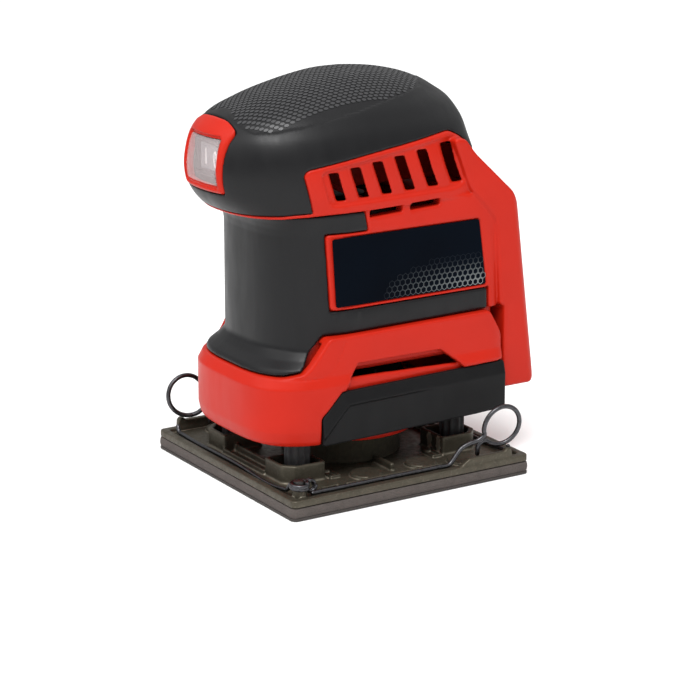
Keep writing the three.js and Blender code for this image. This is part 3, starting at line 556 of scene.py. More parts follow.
def make_plastics():
    red = plastic("red_plastic", (0.44, 0.013, 0.004), 0.38, 0.35, 0.012, 0.16)
    # The lighter orange on the sharp edges is painted highlight.
    red.edges(0.55, 0.66, 0.35, (0.62, 0.09, 0.03))
    plastic("soft_grip", (0.0065, 0.0065, 0.0072), 0.39, 0.45, 0.02, 0.21)
    # The dots are the grip's own soft plastic; their colour, lighter than soft_grip, is painted highlight.
    plastic("grip_dots_painted_highlight", (0.017, 0.017, 0.019), 0.33, 0.3, 0.004, 0.6)
    black = plastic("black_plastic", (0.006, 0.006, 0.0064), 0.42, 0.5, 0.02, 0.13)
    # The lighter grey on the sharp edges of the black plastic is painted highlight.
    black.edges(0.54, 0.64, 0.5, (0.06, 0.06, 0.065))
    plastic("grey_plastic", (0.2, 0.215, 0.23), 0.5, 0.4, 0.01)
    plastic("red_lead", (0.4, 0.012, 0.01), 0.45, 0.4, 0.01)
    plastic("black_lead", (0.015, 0.015, 0.016), 0.5, 0.4, 0.01)
    rubber = Look("rubber", (0.011, 0.011, 0.012), 0.68)
    rubber.stain(5, 4, 0.5, 0.75, 0.5, (0.045, 0.043, 0.04))
    rubber.gloss(2.5, 4, 0.58, 0.78).grain(0.6, 3, 0.03)
    Look("clear_cover", (0.8, 0.7, 0.7), 0.14, alpha=0.2).gloss(4, 3, 0.12, 0.3).grain(8, 1, 0.05)


def make_prints():
    Look("white_mark", (0.9, 0.9, 0.9), 0.45).gloss(1.5, 3, 0.4, 0.55).grain(0.4, 2, 0.004)
    label = Look("label", (0.0012, 0.0028, 0.006), 0.35, specular=0.02)
    label.stain(30, 1, 0.3, 0.7, 0.6, (0.001, 0.0015, 0.003))
    label.gloss(7, 4, 0.3, 0.42).grain(1.5, 2, 0.006)
    dark = (0.004, 0.007, 0.012)
    pattern = Look("label_print", dark, 0.4, specular=0.1)
    place = pattern.node("ShaderNodeSeparateXYZ")
    pattern.links.new(pattern.place, place.inputs[0])
    pattern.tint(place.outputs["Z"], 0.088, 0.077, 1, (0.2, 0.22, 0.22))
    pattern.tint(place.outputs["Y"], 0.044, -0.004, 1, dark)
    pattern.gloss(4, 3, 0.3, 0.5)


def make_pad_looks():
    foam = Look("foam", (0.075, 0.062, 0.056), 0.95)
    foam.stain(3, 4, 0.4, 0.7, 0.5, (0.045, 0.037, 0.034)).cells(0.55, 0.22).grain(1.4, 3, 0.12)
    Look("pad_hooks", (0.045, 0.038, 0.035), 0.9).cells(0.8, 0.3).gloss(2, 3, 0.85, 0.98)
    felt = Look("felt", (0.035, 0.031, 0.018), 0.95)
    felt.stain(2, 5, 0.4, 0.7, 0.6, (0.015, 0.013, 0.008)).grain(0.3, 4, 0.12, (1, 1, 4))


def make_metals():
    cast = Look("cast_aluminium", (0.072, 0.063, 0.045), 0.42, 0.65)
    cast.stain(6, 5, 0.42, 0.7, 0.55, (0.04, 0.035, 0.024))
    cast.stain(0.9, 3, 0.55, 0.75, 0.3, (0.2, 0.18, 0.14))
    # The bright edges of the casting are painted highlight.
    cast.edges(0.52, 0.59, 0.8, (0.5, 0.46, 0.37))
    cast.gloss(2, 4, 0.38, 0.62).grain(0.8, 4, 0.06).grain(4, 2, 0.05)
    wire = Look("wire", (0.075, 0.075, 0.08), 0.3, 1.0)
    wire.stain(1.8, 5, 0.5, 0.72, 0.7, (0.022, 0.02, 0.02)).gloss(1.2, 4, 0.24, 0.5).grain(0.5, 4, 0.02)
    steel = Look("steel", (0.42, 0.42, 0.43), 0.32, 1.0)
    steel.gloss(1.2, 4, 0.22, 0.45, (1, 1, 6)).grain(0.4, 3, 0.006, (1, 1, 8))
    Look("dark_steel", (0.06, 0.058, 0.056), 0.42, 1.0).gloss(2, 4, 0.32, 0.55).grain(0.5, 3, 0.01)
    copper = Look("copper", (0.55, 0.2, 0.09), 0.35, 1.0)
    copper.grain(0.5, 2, 0.15, (1, 1, 0.2)).gloss(1.5, 3, 0.28, 0.5)
    Look("brass", (0.58, 0.4, 0.14), 0.3, 1.0).gloss(1.5, 4, 0.22, 0.45).grain(0.5, 3, 0.006)


make_plastics()
make_prints()
make_pad_looks()
make_metals()

# The finish of each CAD node that stays as it is.
CAD_LOOKS = {
    "black_plastic": ["switch_body", "terminal_block", "motor_end_cap", "cooling_fan"],
    "brass": ["terminal_plus", "terminal_minus", "terminal_sense"],
    "red_lead": ["lead_switch", "lead_motor"],
    "black_lead": ["lead_return"],
    "steel": ["motor_can", "bearing_upper", "bearing_lower", "motor_shaft", "centre_screw", "plate_bearing"],
    "dark_steel": ["motor_magnet_right", "motor_magnet_left", "brush_right", "brush_left", "counterweight"],
    "copper": ["armature", "commutator"],
    "felt": ["seal_ring"],
}


def finish_cad_nodes():
    for look, names in CAD_LOOKS.items():
        for name in names:
            NODES[name].data.materials.clear()
            NODES[name].data.materials.append(LOOKS[look])


# ---- The housing ----


def foot_rear(z):
    slope = (FOOT_TOP[0] - FOOT_LOW[0]) / (FOOT_TOP[1] - FOOT_LOW[1])
    return FOOT_LOW[0] + slope * (z - FOOT_LOW[1])


def foot(block):
    """The battery foot: its side outline with soft corners, and its rear edges rounded in plan."""
    side = sideways(block, FOOT_SIDE, 2.2)
    plan = [(-FOOT_HALF, 0), (FOOT_HALF, 0), (FOOT_HALF, 76), (-FOOT_HALF, 76)]
    lean = block.y - (foot_rear(block.z) - FOOT_LOW[0])
    corner = 4.5
    dx, dy = np.abs(block.x) - FOOT_HALF + corner, lean - FOOT_LOW[0] + corner
    round_rear = np.hypot(np.maximum(dx, 0), np.maximum(dy, 0)) + np.minimum(np.maximum(dx, dy), 0) - corner
    return both(side, round_rear, 1.1)


def battery_bay(block):
    """The open-topped channel in the foot, undercut behind two lips."""
    behind = (foot_rear(block.z) - block.y) * 0.992
    above = BAY_BOTTOM - block.z
    x = np.abs(block.x)
    wide = np.maximum(x - BAY_HALF, np.maximum(behind - BAY_DEPTH, BAY_LIP_THICK - behind))
    mouth = np.maximum(x - BAY_HALF + BAY_LIP, behind - BAY_LIP_THICK - 1)
    return both(either(wide, mouth), above, 0.8)


def vent_slots(block):
    """Six slanted vents and two level ones, cut through the side wall."""
    cuts = 1e3
    y = block.y + SLOT_SLANT * (block.x - 36)
    for i in range(SLOT_COUNT):
        top, top_z = (a + step * i for a, step in zip(SLOT_TOP, SLOT_TOP_STEP))
        low, low_z = (a + step * i for a, step in zip(SLOT_LOW, SLOT_LOW_STEP))
        slot = [(low, low_z), (low + SLOT_WIDTH, low_z), (top + SLOT_WIDTH, top_z), (top, top_z)]
        cuts = np.minimum(cuts, polygon(softened(slot, 0.6), y, block.z))
    for slot in LEVEL_SLOTS:
        cuts = np.minimum(cuts, sideways(block, slot, 0.5))
    return np.maximum(cuts, 26 - block.x)


def lip_band():
    """The red edge under the head grip, as a side outline."""
    upper = [(y, z + LIP) for y, z in SEAM]
    return SEAM + upper[::-1]


def housing_half(with_heads):
    """One half of the red housing, on the +X side. with_heads leaves seats for the screw heads."""
    block = Block((-1.2, -66, 28), (38.4, 76, 146), 0.6)
    column, head = loft(block, COLUMN), loft(block, HEAD, 90)
    core = both(column + SLEEVE + GAP, band(block.z, 50, 114.5), 0.6)
    flush = np.minimum(sideways(block, BARE_COLUMN, 0.8), sideways(block, LABEL_FIELD, 1.8))
    flush = both(both(column, flush, 0.45), 66.2 - block.z)
    panel = both(head, sideways(block, VENT_PANEL, 2.2), 0.9)
    lip = both(head, sideways(block, lip_band()), 0.3)
    field = sideways(block, VENT_FIELD, 3.0)
    panel = without(panel, both(field, -(head + 1.0), 1.0), 0.7)
    outside = either(core, flush, 0.3)
    outside = either(outside, np.minimum(panel, lip), 0.4)
    hollow = both(column + 5.4, band(block.z, 20, 116))
    hollow = np.minimum(hollow, np.maximum(head + WALL + 0.4, SHELF_TOP - block.z))
    shell = without(either(outside, foot(block), 0.7), hollow)
    motor = rod_z(block, 0, MOTOR_Y, 8.2)
    web = both(column + 5, np.maximum(band(block.z, 48, 51.5), -motor))
    support = both(column + 5, np.maximum(band(block.z, 74, 76), -rod_z(block, 0, MOTOR_Y, 19.1)))
    support = np.maximum(support, -np.maximum(block.x - 12, 10 - block.y))
    shell = np.minimum(shell, np.minimum(web, support))
    rib = np.maximum(band(block.y, -34, 48), np.maximum(band(block.z, 115, 150), block.x - 1.8))
    shell = np.minimum(shell, np.maximum(rib, head + np.where(block.z < 126, 2.0, 3.4)))
    for y, z in HOUSING_SCREWS.values():
        shell = either(shell, np.maximum(rod_x(block, y, z, BOSS), block.x - BOSS_END), 0.6)
    shell = without(shell, battery_bay(block), 0.5)
    shell = without(shell, vent_slots(block), 0.5)
    label_seat = np.maximum(sideways(block, LABEL_FACE, 1.0), LABEL_SEAT - block.x)
    shell = without(shell, label_seat, 0.3)
    for y, z in HOUSING_SCREWS.values():
        if with_heads:
            shell = without(shell, rod_x(block, y, z, SCREW_HOLE))
            shell = without(shell, np.maximum(rod_x(block, y, z, SCREW_SEAT), -SCREW_TO - GAP - block.x), 0.3)
        else:
            shell = without(shell, np.maximum(rod_x(block, y, z, SCREW_HOLE), block.x - SCREW_TIP - 1))
    return both(shell, 0.15 - block.x, 0.25), block


def make_housing():
    right, block = housing_half(False)
    moulded("shell_right", right, block, "housing", "red_plastic", "housing_right")
    left, block = housing_half(True)
    moulded("shell_left", left, block, "housing", "red_plastic", "housing_left", mirrored=True)


def make_lower_housing():
    """The bumper, the side bands and the seats of the side panels."""
    block = Block((-40, -57, 21), (40, 56.5, 66.5), 0.6)
    outside = loft(block, SKIRT)
    made = both(outside, sideways(block, BUMPER_TOP, 1.4), 0.6)
    made = both(made, 22 - block.z, 0.8)
    x = np.abs(block.x)
    opening = sideways(block, BAND_OPENING, 0.6)
    made = without(made, np.maximum(opening, 36.4 - x), 0.5)
    seat = sideways(block, SIDE_PANEL, 0.8) - PANEL_GAP
    made = without(made, np.maximum(seat, 36.2 - x), 0.35)
    made = np.maximum(made, -(outside + 4))
    outlet = np.maximum(sideways(block, AIR_OUTLET), opening - 0.3)
    made = without(made, np.maximum(outlet, 25 - x), 0.3)
    strip = CREASE + [(y - 0.35, z - 0.35) for y, z in CREASE[::-1]]
    made = without(made, np.maximum(sideways(block, strip), -(outside + 0.4)), 0.15)
    moulded("skirt", made, block, "housing", "red_plastic", "lower_housing")


def make_front_grip():
    block = Block((-39, -55, 49), (39, 50, 114), 0.6)
    outside = loft(block, SLEEVE_ROWS)
    made = both(outside, sideways(block, FRONT_GRIP, 0.9), 0.5)
    made = np.maximum(made, -(outside + SLEEVE))
    moulded("grip_front", made, block, "housing", "soft_grip", "front_grip", 0.35)


def make_head_grip():
    block = Block((-38.4, -67, 111), (38.4, 52, 165.4), 0.55)
    head = loft(block, HEAD, 90)
    seam = [(y, z + LIP + 0.15) for y, z in SEAM] + [(60, 180), (-80, 180)]
    made = both(head, sideways(block, seam), 0.5)
    made = without(made, sideways(block, VENT_PANEL, 2.2) - 0.12, 0.5)
    mouth = [(x * 1.015, z + (0.15 if z > SWITCH_Z else -0.15)) for x, z in SWITCH_OUTLINE]
    front = both(block.y - SWITCH_BACK - 0.2, block.z - SWITCH_TOP - 0.2, 1.2)
    made = without(made, both(lengthways(block, mouth, 1.6), front, 0.8), 0.5)
    made = without(made, foot(block) - 0.2, 0.4)
    made = np.maximum(made, -(head + WALL))
    column = loft(block, COLUMN)
    made = np.maximum(made, -np.maximum(column - 0.2, block.z - 114))
    field = both(upright(block, dot_outline()), 142 - block.z)
    made = without(made, both(field, -(head + DOT_RECESS)), 0.15)
    return moulded("grip_head", made, block, "housing", "soft_grip", "head_grip")


# The dotted field on top of the head, as half of a plan outline of (x, y) points on the +X side.
DOT_FIELD = [
    (0, -51.5), (10, -54.6), (16, -54.4), (20.6, -52), (25.2, -45), (28.2, -35), (29.4, -24), (29, -12),
    (26.4, 2), (22.6, 15), (16, 27), (0, 35),
]
DOT_PITCH, DOT_ROW, DOT_HEIGHT = 2.5, 1.5, 0.62
DOT_LENGTH, DOT_WIDTH = 1.02, 0.66
DOT_LEVELS = [(1.0, -0.3), (0.86, 0.5), (0.5, 0.9)]  # share of a stud's size, and of its height
DOT_RECESS = 0.4
ABOVE, DOWN = 200, Vector((0, 0, -1))  # where the rays that find the head's surface start, and their way


def dot_outline():
    mirrored = [(-x, y) for x, y in DOT_FIELD[-2:0:-1]]
    return softened(DOT_FIELD + mirrored, 2)


def arc_lengths(tree, y, across):
    """How far along the surface each of the places across lies from the middle line."""
    heights = []
    for x in across:
        spot = tree.ray_cast(Vector((x, y, ABOVE)) * MM, DOWN)[0]
        heights.append(spot.z / MM if spot else heights[-1] - 2 if heights else 0)
    return np.concatenate([[0], np.cumsum(np.hypot(np.diff(across), np.diff(heights)))])


def make_dots(grip):
    """Long, low studs in staggered rows over the top of the head, evenly spaced along its surface."""
    tree = BVHTree.FromObject(grip, bpy.context.evaluated_depsgraph_get())
    outline = dot_outline()
    work = bmesh.new()
    sides = 8
    turn = [2 * math.pi * i / sides for i in range(sides)]
    across = np.arange(0, 34, 0.5)
    for column in range(-46, 32):
        y = DOT_PITCH / 2 * column
        run = arc_lengths(tree, y, across)
        for row in range(-18, 19):
            x = math.copysign(np.interp(abs(row) * DOT_ROW, run, across), row)
            if (row + column) % 2 or polygon(outline, np.array(x), np.array(y)) > -0.5:
                continue
            spot, normal, _, _ = tree.ray_cast(Vector((x, y, ABOVE)) * MM, DOWN)
            spot = spot / MM
            wide = normal.cross(Vector((0, 1, 0))).normalized() * DOT_WIDTH
            long = normal.cross(wide).normalized() * DOT_LENGTH
            rings = []
            for share, rise in DOT_LEVELS:
                centre = spot + normal * DOT_HEIGHT * rise
                ring = [centre + (wide * math.cos(a) + long * math.sin(a)) * share for a in turn]
                rings.append([work.verts.new(corner) for corner in ring])
            work.faces.new(rings[0][::-1])
            skin(work, rings + [[work.verts.new(spot + normal * DOT_HEIGHT)]])
    # The dots' lighter finish is painted highlight.
    put(from_bmesh("grip_dots_painted_highlight", work, LOOKS["grip_dots_painted_highlight"], 80), "housing", "soft_grip")


def make_side_panels():
    """Black covers with a raised, sloping border along the top and front edges."""
    block = Block((34.5, -34, 20.5), (41, 56, 46), 0.45)
    outline = sideways(block, SIDE_PANEL, 0.9)
    rear, bend, toe = np.array([(54.4, 44.1), (-23.2, 42.6), (-32.2, 32.9)])

    def depth(start, end):
        """How far inside the edge from start to end each point of the block is."""
        line = end - start
        across = np.array([line[1], -line[0]]) / np.linalg.norm(line)
        return across[0] * (block.y - start[0]) + across[1] * (block.z - start[1])

    inward = np.minimum(depth(bend, rear), depth(toe, bend))
    border, face = 5.2, 39.75
    slope = 0.3 * np.clip(border - inward, 0, 6)
    rise = np.clip((inward - border) / 0.9, 0, 1)
    fade = np.clip((24 - block.y) / 14, 0, 1)
    outer = face - slope - 0.8 * fade * rise
    made = both(outline, block.x - outer, 0.45)
    made = both(made, 36.5 - block.x, 0.2)
    for side, mirrored in (("right", False), ("left", True)):
        node = f"side_panel_{side}"
        moulded(f"panel_{side}", made, block, "housing", "black_plastic", node, mirrored=mirrored)


def inset(points, by):
    """An outline moved towards its middle."""
    points = np.array(points, float)
    centre = points.mean(0)
    return points - by * np.sign(points - centre)


def make_labels():
    """The side labels with their printed hexagons."""
    face = softened(inset(LABEL_FACE, GAP), 1.0, 5)
    for side, sign in (("right", 1), ("left", -1)):
        under, over = LABEL_IN * sign, LABEL_OUT * sign
        plate = flat_piece(f"label_plate_{side}", face, under, over, LOOKS["label"], 0.2)
        put(plate, "housing", "label", f"label_{side}")
        put(label_print(side, sign), "housing", "label")


def label_print(side, sign):
    """A net of hexagons whose lines grow towards the label's lower rear corner."""
    pitch, sides = 2.5, 6
    low_x, high_x = (LABEL_OUT - 0.05) * sign, (LABEL_OUT + 0.04) * sign
    work = bmesh.new()
    outline = inset(LABEL_FACE, 1.2)
    for row in range(6):
        for column in range(20):
            y = 46.4 - pitch * (column + 0.5 * (row % 2))
            z = 78 + pitch * 0.87 * row
            strength = 1 - math.hypot((46 - y) / 52, (z - 77) / 15)
            if strength < 0.05 or polygon(outline, np.array(y), np.array(z)) > -0.2:
                continue
            line = 0.12 + 0.2 * strength
            rings = []
            for radius in (pitch * 0.56, pitch * 0.56 - line):
                turn = [math.radians(30 + 60 * i) for i in range(sides)]
                spots = [(y + radius * math.cos(a), z + radius * math.sin(a)) for a in turn]
                rings.append([[work.verts.new((x, a, b)) for a, b in spots] for x in (low_x, high_x)])
            loops = [rings[0][0], rings[0][1], rings[1][1], rings[1][0], rings[0][0]]
            skin(work, loops)
    return from_bmesh(f"label_print_{side}", work, LOOKS["label_print"], 10)


# ---- The switch ----


def make_switch():
    block = Block((-17, -67.5, 119.6), (17, -48, 151.6), 0.4)
    head = loft(block, HEAD, 90)
    outline = lengthways(block, SWITCH_OUTLINE, 1.6)
    front = both(block.y - SWITCH_BACK, block.z - SWITCH_TOP, 1.2)
    made = both(both(head - 0.6, outline, 1.2), front, 0.8)
    made = np.maximum(made, -(head + WALL + 0.6))
    window = lengthways(block, SWITCH_WINDOW, 1.0)
    made = without(made, window, 0.35)
    made = without(made, np.maximum(window - 1.1, -(head + 0.2)), 0.3)
    moulded("frame_of_switch", made, block, "housing", "red_plastic", "switch_frame", 0.5)
    cover = np.maximum(both(head + 0.05, window + 0.2, 0.35), -(head + 1.2))
    moulded("cover_of_switch", cover, block, "housing", "clear_cover", "switch_cover", 0.5)


def make_rocker():
    """The two-position key, hollowed on each side of its ridge, with a line and a ring on it."""
    block = Block((-10.5, -62.5, 126.5), (10.5, -51.5, 139.5), 0.35)
    pivot_y, off = -57.0, math.radians(-7)
    y = block.y - pivot_y
    u = math.cos(off) * block.x + math.sin(off) * y
    v = -math.sin(off) * block.x + math.cos(off) * y
    front = v + 1.6 + 1.2 * (np.abs(u) / 9) ** 1.6
    made = np.maximum(-front, v - 4.0)
    made = both(made, np.abs(u) - 9, 0.5)
    made = np.maximum(made, 0.55 * (np.abs(u) - 2.5) + 0.83 * (v - 3.2))
    made = both(made, band(block.z, 127.6, 138.4), 0.6)
    moulded("rocker_key", made, block, "rocker", "grey_plastic", "rocker", 0.5)

    def on_key(u_at, z, proud):
        v_at = -1.6 - 1.2 * (abs(u_at) / 9) ** 1.6 - proud
        x = math.cos(off) * u_at - math.sin(off) * v_at
        return (x, pivot_y + math.sin(off) * u_at + math.cos(off) * v_at, z)

    stroke = 0.36
    bar = [on_key(-4.8, z, 0.02) for z in np.linspace(130.2, 136, 8)]
    put(tube("rocker_mark_on", bar, stroke, LOOKS["white_mark"], 8), "rocker", "grey_plastic")
    turn = np.linspace(0, 2 * math.pi, 29)
    loop = [on_key(4.6 + 1.9 * math.cos(a), 133.1 + 3.0 * math.sin(a), 0.02) for a in turn]
    put(tube("rocker_mark_off", loop, stroke, LOOKS["white_mark"], 8), "rocker", "grey_plastic")


# ---- The plate, its pad and the clamps ----
PAD_HALF_X, PAD_HALF_Y, PAD_THICK = 55.0, 56.0, 5.0
PLATE_INSET, PLATE_BOTTOM, PLATE_FLOOR, PLATE_RIM, PLATE_RIM_WIDTH = 0.3, 5.2, 6.5, 8.1, 3.2
POCKET_X, POCKET_Y, POCKET_WIDTH, POCKET_LENGTH = 24.9, 37, 17.2, 18
POCKET_WALL, POCKET_TOP, POCKET_CUT = 1.5, 14, 4
HUB_RADIUS, HUB_TOP, HUB_BORE = 19, 13.2, 13.3
WIRE_RADIUS, WIRE_X, WIRE_Z, WIRE_PIVOT_Y = 0.95, 49.8, 8.4, -44.2
RING_X, RING_Y, RING_Z, RING_RADIUS, RING_FROM, RING_SWEEP, RING_STEPS = 53.2, 43.5, 21.6, 8.3, 200, 330, 22
POST_X, POST_Y = 48.4, -49.2
BAR_Y, BAR_Z, BAR_END = -50.7, 8.0, -46


def pocket_outline(grow):
    """One spring pocket in the +X +Y corner, its outer corner cut off."""
    w, l = POCKET_WIDTH / 2 - grow, POCKET_LENGTH / 2 - grow
    points = [(-w, -l), (w, -l), (w, l - POCKET_CUT), (w - POCKET_CUT, l), (-w, l)]
    return [(POCKET_X + a, POCKET_Y + b) for a, b in points]


def latch_outline():
    """The ear on the rim that the clamp wire hooks behind, as (y, z)."""
    ear = [(45.9 + 1.7 * math.cos(a), 10.6 + 1.7 * math.sin(a)) for a in np.radians([160, 125, 90, 55, 20])]
    return [(21.5, 7.5), (27, 10.9), (43.6, 11.0)] + ear + [(47.8, 7.5)]


def make_base_plate():
    block = Block((-55.6, -56.6, 4.6), (55.6, 56.6, 15), 0.5)
    half_x, half_y = PAD_HALF_X - PLATE_INSET, PAD_HALF_Y - PLATE_INSET
    x, y, z = block.x, block.y, block.z
    made = both(slab(block, half_x, half_y, 2.2), band(z, PLATE_BOTTOM, PLATE_RIM), 0.45)
    tray = slab(block, half_x - PLATE_RIM_WIDTH, half_y - PLATE_RIM_WIDTH, 1.6)
    made = without(made, np.maximum(tray, PLATE_FLOOR - z), 0.35)

    def raise_up(shape, top, fillet=0.7, edge=0.35):
        nonlocal made
        made = either(made, both(shape, band(z, PLATE_FLOOR - 0.6, top), edge), fillet)

    walls, holes = 1e3, 1e3
    for sx in (-1, 1):
        for sy in (-1, 1):
            walls = np.minimum(walls, polygon(softened(pocket_outline(0), 1.0), sx * x, sy * y))
            holes = np.minimum(holes, polygon(softened(pocket_outline(POCKET_WALL), 0.8), sx * x, sy * y))
    raise_up(walls, POCKET_TOP, 1.0, 0.3)
    raise_up(rod_z(block, 0, 0, HUB_RADIUS), HUB_TOP, 1.2, 0.5)
    for sign in (-1, 1):
        xs, ys = sign * x, sign * y
        raise_up(np.maximum(np.abs(xs - 45) - 0.8, band(ys, -26, 20)), 8.0)
        raise_up(np.maximum(np.abs(ys - 40) - 0.8, np.abs(xs) - 16.5), 9.5)
        raise_up(np.maximum(np.abs(ys - 46) - 0.7, np.abs(xs) - 16.5), 8.6)
        raise_up(np.maximum(band(xs, 25.5, 39), np.abs(ys) - 0.9), 9.5)
        for bx, by, r in ((38, -12, 6.5), (38, 14, 6.5), (44, 31, 7)):
            raise_up(np.hypot(xs - bx, ys - by) - r, 7.9, 0.35, 0.25)
        for bx, by, w, l in ((46.5, -33, 3.2, 4.6), (30.5, -24, 4.2, 2.4), (30.5, 24.6, 4.2, 2.4)):
            hollow = np.maximum(np.abs(xs - bx) - w, np.abs(ys - by) - l)
            wall = np.maximum(hollow, -(hollow + 0.8))
            raise_up(wall, 7.7, 0.3, 0.25)
        raise_up(np.hypot(xs - POST_X, ys - POST_Y) - 2.9, 11.2, 0.9, 0.4)
    ear = polygon(latch_outline(), y, z)
    ear_back = polygon(latch_outline(), -y, z)
    made = either(made, both(ear, band(x, 51.9, 54.3), 0.35), 0.4)
    made = either(made, both(ear_back, band(-x, 51.9, 54.3), 0.35), 0.4)
    made = without(made, np.maximum(holes, PLATE_FLOOR - z), 0.3)
    for radius, bottom in ((HUB_BORE, 8.2), (6.4, 6.4), (2, 0)):
        made = without(made, np.maximum(rod_z(block, 0, 0, radius), bottom - z), 0.3)
    moulded("plate_casting", made, block, "plate", "cast_aluminium", "base_plate")


def pad_layer(name, profile, look, corner=2.4, steps=9):
    """A layer of the pad with a round-cornered plan, from (inset, z) points up its side."""
    work = bmesh.new()
    rings = []
    for inward, z in profile:
        r = max(corner - inward, 0.2)
        loop = []
        for cx, cy, start in ((1, 1, 0), (-1, 1, 90), (-1, -1, 180), (1, -1, 270)):
            for i in range(steps):
                a = math.radians(start + 90 * i / (steps - 1))
                px, py = cx * (PAD_HALF_X - inward - r), cy * (PAD_HALF_Y - inward - r)
                loop.append(work.verts.new((px + r * math.cos(a), py + r * math.sin(a), z)))
        rings.append(loop)
    skin(work, rings, ends=True)
    return from_bmesh(name, work, look, 30)


def make_pad():
    """The foam pad, squeezed a little between the plate and its hook layer."""
    bottom, top = 1.05, PAD_THICK
    side = []
    for t in np.linspace(0, 1, 9):
        bulge = 0.28 * (1 - (2 * t - 1) ** 2)
        side.append((0.3 - bulge, bottom + 0.35 + (top - bottom - 0.7) * t))
    profile = [(1.0, bottom), (0.5, bottom + 0.1)] + side + [(0.45, top - 0.1), (0.9, top)]
    foam = pad_layer("pad_foam", profile, LOOKS["foam"])
    put(foam, "plate", "foam", "foam_pad")
    hooks = [(0.5, 0.0), (0.2, 0.12), (0.15, 0.8), (0.4, 1.0)]
    put(pad_layer("pad_hook_layer", hooks, LOOKS["pad_hooks"]), "plate", "foam")


def clamp_line():
    """The clamp wire's centre line: along the rim, up into its finger ring, across itself and down."""
    x, z = WIRE_X, WIRE_Z
    line = [
        (x, WIRE_PIVOT_Y, z), (x, -30, z), (x, -5, z), (x, 14, z), (x, 20, z + 0.2), (x, 22.6, z + 2.8),
        (x, 25.6, z + 5.9), (x + 0.4, 29.5, z + 7.5), (x + 0.9, 33.4, z + 8.4),
    ]
    for i in range(RING_STEPS + 1):
        share = i / RING_STEPS
        angle = math.radians(RING_FROM - RING_SWEEP * share)
        lean = (RING_X - x) * math.sin(math.pi * share) + 1.6 * (1 - share) - 1.2 * share
        aside, rise = RING_RADIUS * math.cos(angle), RING_RADIUS * math.sin(angle)
        line.append((x + lean, RING_Y + aside, RING_Z + rise))
    return line + [(x - 1.9, 35.4, 13.6), (x - 2.1, 35, 9.8)]


def winding(centre, radius, turns, count):
    """Points of a coil: how many half turns round each is, and its two places across the coil's line."""
    angles = np.linspace(*turns, count)
    return [(a / math.pi, centre[0] + radius * math.cos(a), centre[1] + radius * math.sin(a)) for a in angles]


def make_clamps():
    """The wire clamps: each bar with its ring, the wound end on its post and the bar along the front."""
    wound = winding((POST_X, POST_Y), 3.2, (2 * math.pi * 2.1, 0.6), 60)
    hinge = winding((-43.6, 10.6), 2.1, (0, 4 * math.pi), 50)
    front = [
        (BAR_END - 1.4, BAR_Y + 0.2, BAR_Z + 2.4), (BAR_END, BAR_Y, BAR_Z + 0.3), (-42, BAR_Y, BAR_Z),
        (0, BAR_Y, BAR_Z), (38, BAR_Y, BAR_Z), (42, BAR_Y, BAR_Z + 0.9), (43.6, BAR_Y + 0.3, BAR_Z + 3.4),
        (46, BAR_Y + 0.6, 12.6),
    ]
    cap = [(0, 11.0), (2.2, 11.0), (2.2, 13.2), (1.9, 13.9), (1.1, 14.3), (0, 14.4)]
    # Each wire: its name, points, radius, sides, how many points it is smoothed to, and its CAD node.
    wires = [
        ("bar", clamp_line(), WIRE_RADIUS, 16, 260, "wire"),
        ("coil", [(x, y, 13.2 - 0.5 * turns) for turns, x, y in wound], 0.9, 12, 0, "eyelet"),
        ("spring", [(WIRE_X - 3.9 + 0.5 * turns, y, z) for turns, y, z in hinge], 0.8, 12, 0, None),
        ("front", front, 0.9, 14, 90, None),
    ]
    for side, sign in (("right", 1), ("left", -1)):
        for name, line, radius, sides, smooth, node in wires:
            points = [(sign * x, sign * y, z) for x, y, z in line]
            wire = tube(f"clamp_{name}_{side}", points, radius, LOOKS["wire"], sides, smooth)
            body = f"clamp_{side}" if name == "bar" else "plate"
            nodes = [f"clamp_{node}_{side}"] if node else []
            put(wire, body, "wire", *nodes)
        rivet = turned(f"clamp_rivet_{side}", cap, LOOKS["dark_steel"], sign * POST_X, sign * POST_Y, 32)
        put(rivet, "plate", "wire")


def make_pillars():
    """Ribbed rubber pillars between the housing and the plate."""
    bottom, top, ribs = 7.3, 23.1, 10
    for sx, side in ((1, "right"), (-1, "left")):
        for sy, end in ((-1, "front"), (1, "rear")):
            x, y = sx * POCKET_X, sy * POCKET_Y + MOTOR_Y
            block = Block((x - 6.4, y - 6.4, 6.6), (x + 6.4, y + 6.4, 24), 0.35)
            angle = np.arctan2(block.y - y, block.x - x)
            radius = np.hypot(block.y - y, block.x - x)
            core = both(radius - 4.5, band(block.z, bottom, top), 0.4)
            foot_disc = both(radius - 5.4, band(block.z, bottom, bottom + 2.4), 0.5)
            head_disc = both(radius - 5.4, band(block.z, top - 2, top), 0.4)
            nearest = np.round(angle * ribs / (2 * math.pi)) * 2 * math.pi / ribs
            rib = np.hypot(radius * np.cos(angle - nearest) - 4.6, radius * np.sin(angle - nearest)) - 0.75
            made = either(core, both(rib, band(block.z, bottom + 1, top), 0.3), 0.5)
            made = either(either(made, foot_disc, 0.6), head_disc, 0.5)
            place = f"{end}_{side}"
            moulded(f"pillar_rubber_{place}", made, block, "housing", "rubber", f"pillar_{place}", 0.5)


def make_frame_plate():
    """The red plate that closes the housing underneath, with the drum round the drive."""
    block = Block((-36, -52, 16.8), (36, 52, 27.2), 0.6)
    rows = [(z, *SKIRT[1][1:]) for z in (10, 40)]
    plate = both(loft(block, rows) + 4.6, band(block.z, 23.5, 26.5), 0.5)
    drum = both(rod_z(block, 0, MOTOR_Y, 30), band(block.z, 17.5, 26.5), 0.7)
    made = either(plate, drum, 1.2)
    made = without(made, rod_z(block, 0, MOTOR_Y, 27.5), 0.5)
    for sx in (-1, 1):
        for sy in (-1, 1):
            made = without(made, rod_z(block, sx * POCKET_X, sy * POCKET_Y + MOTOR_Y, 3.05), 0.2)
    moulded("closing_plate", made, block, "housing", "red_plastic", "frame_plate", 0.35)


# ---- Screws ----


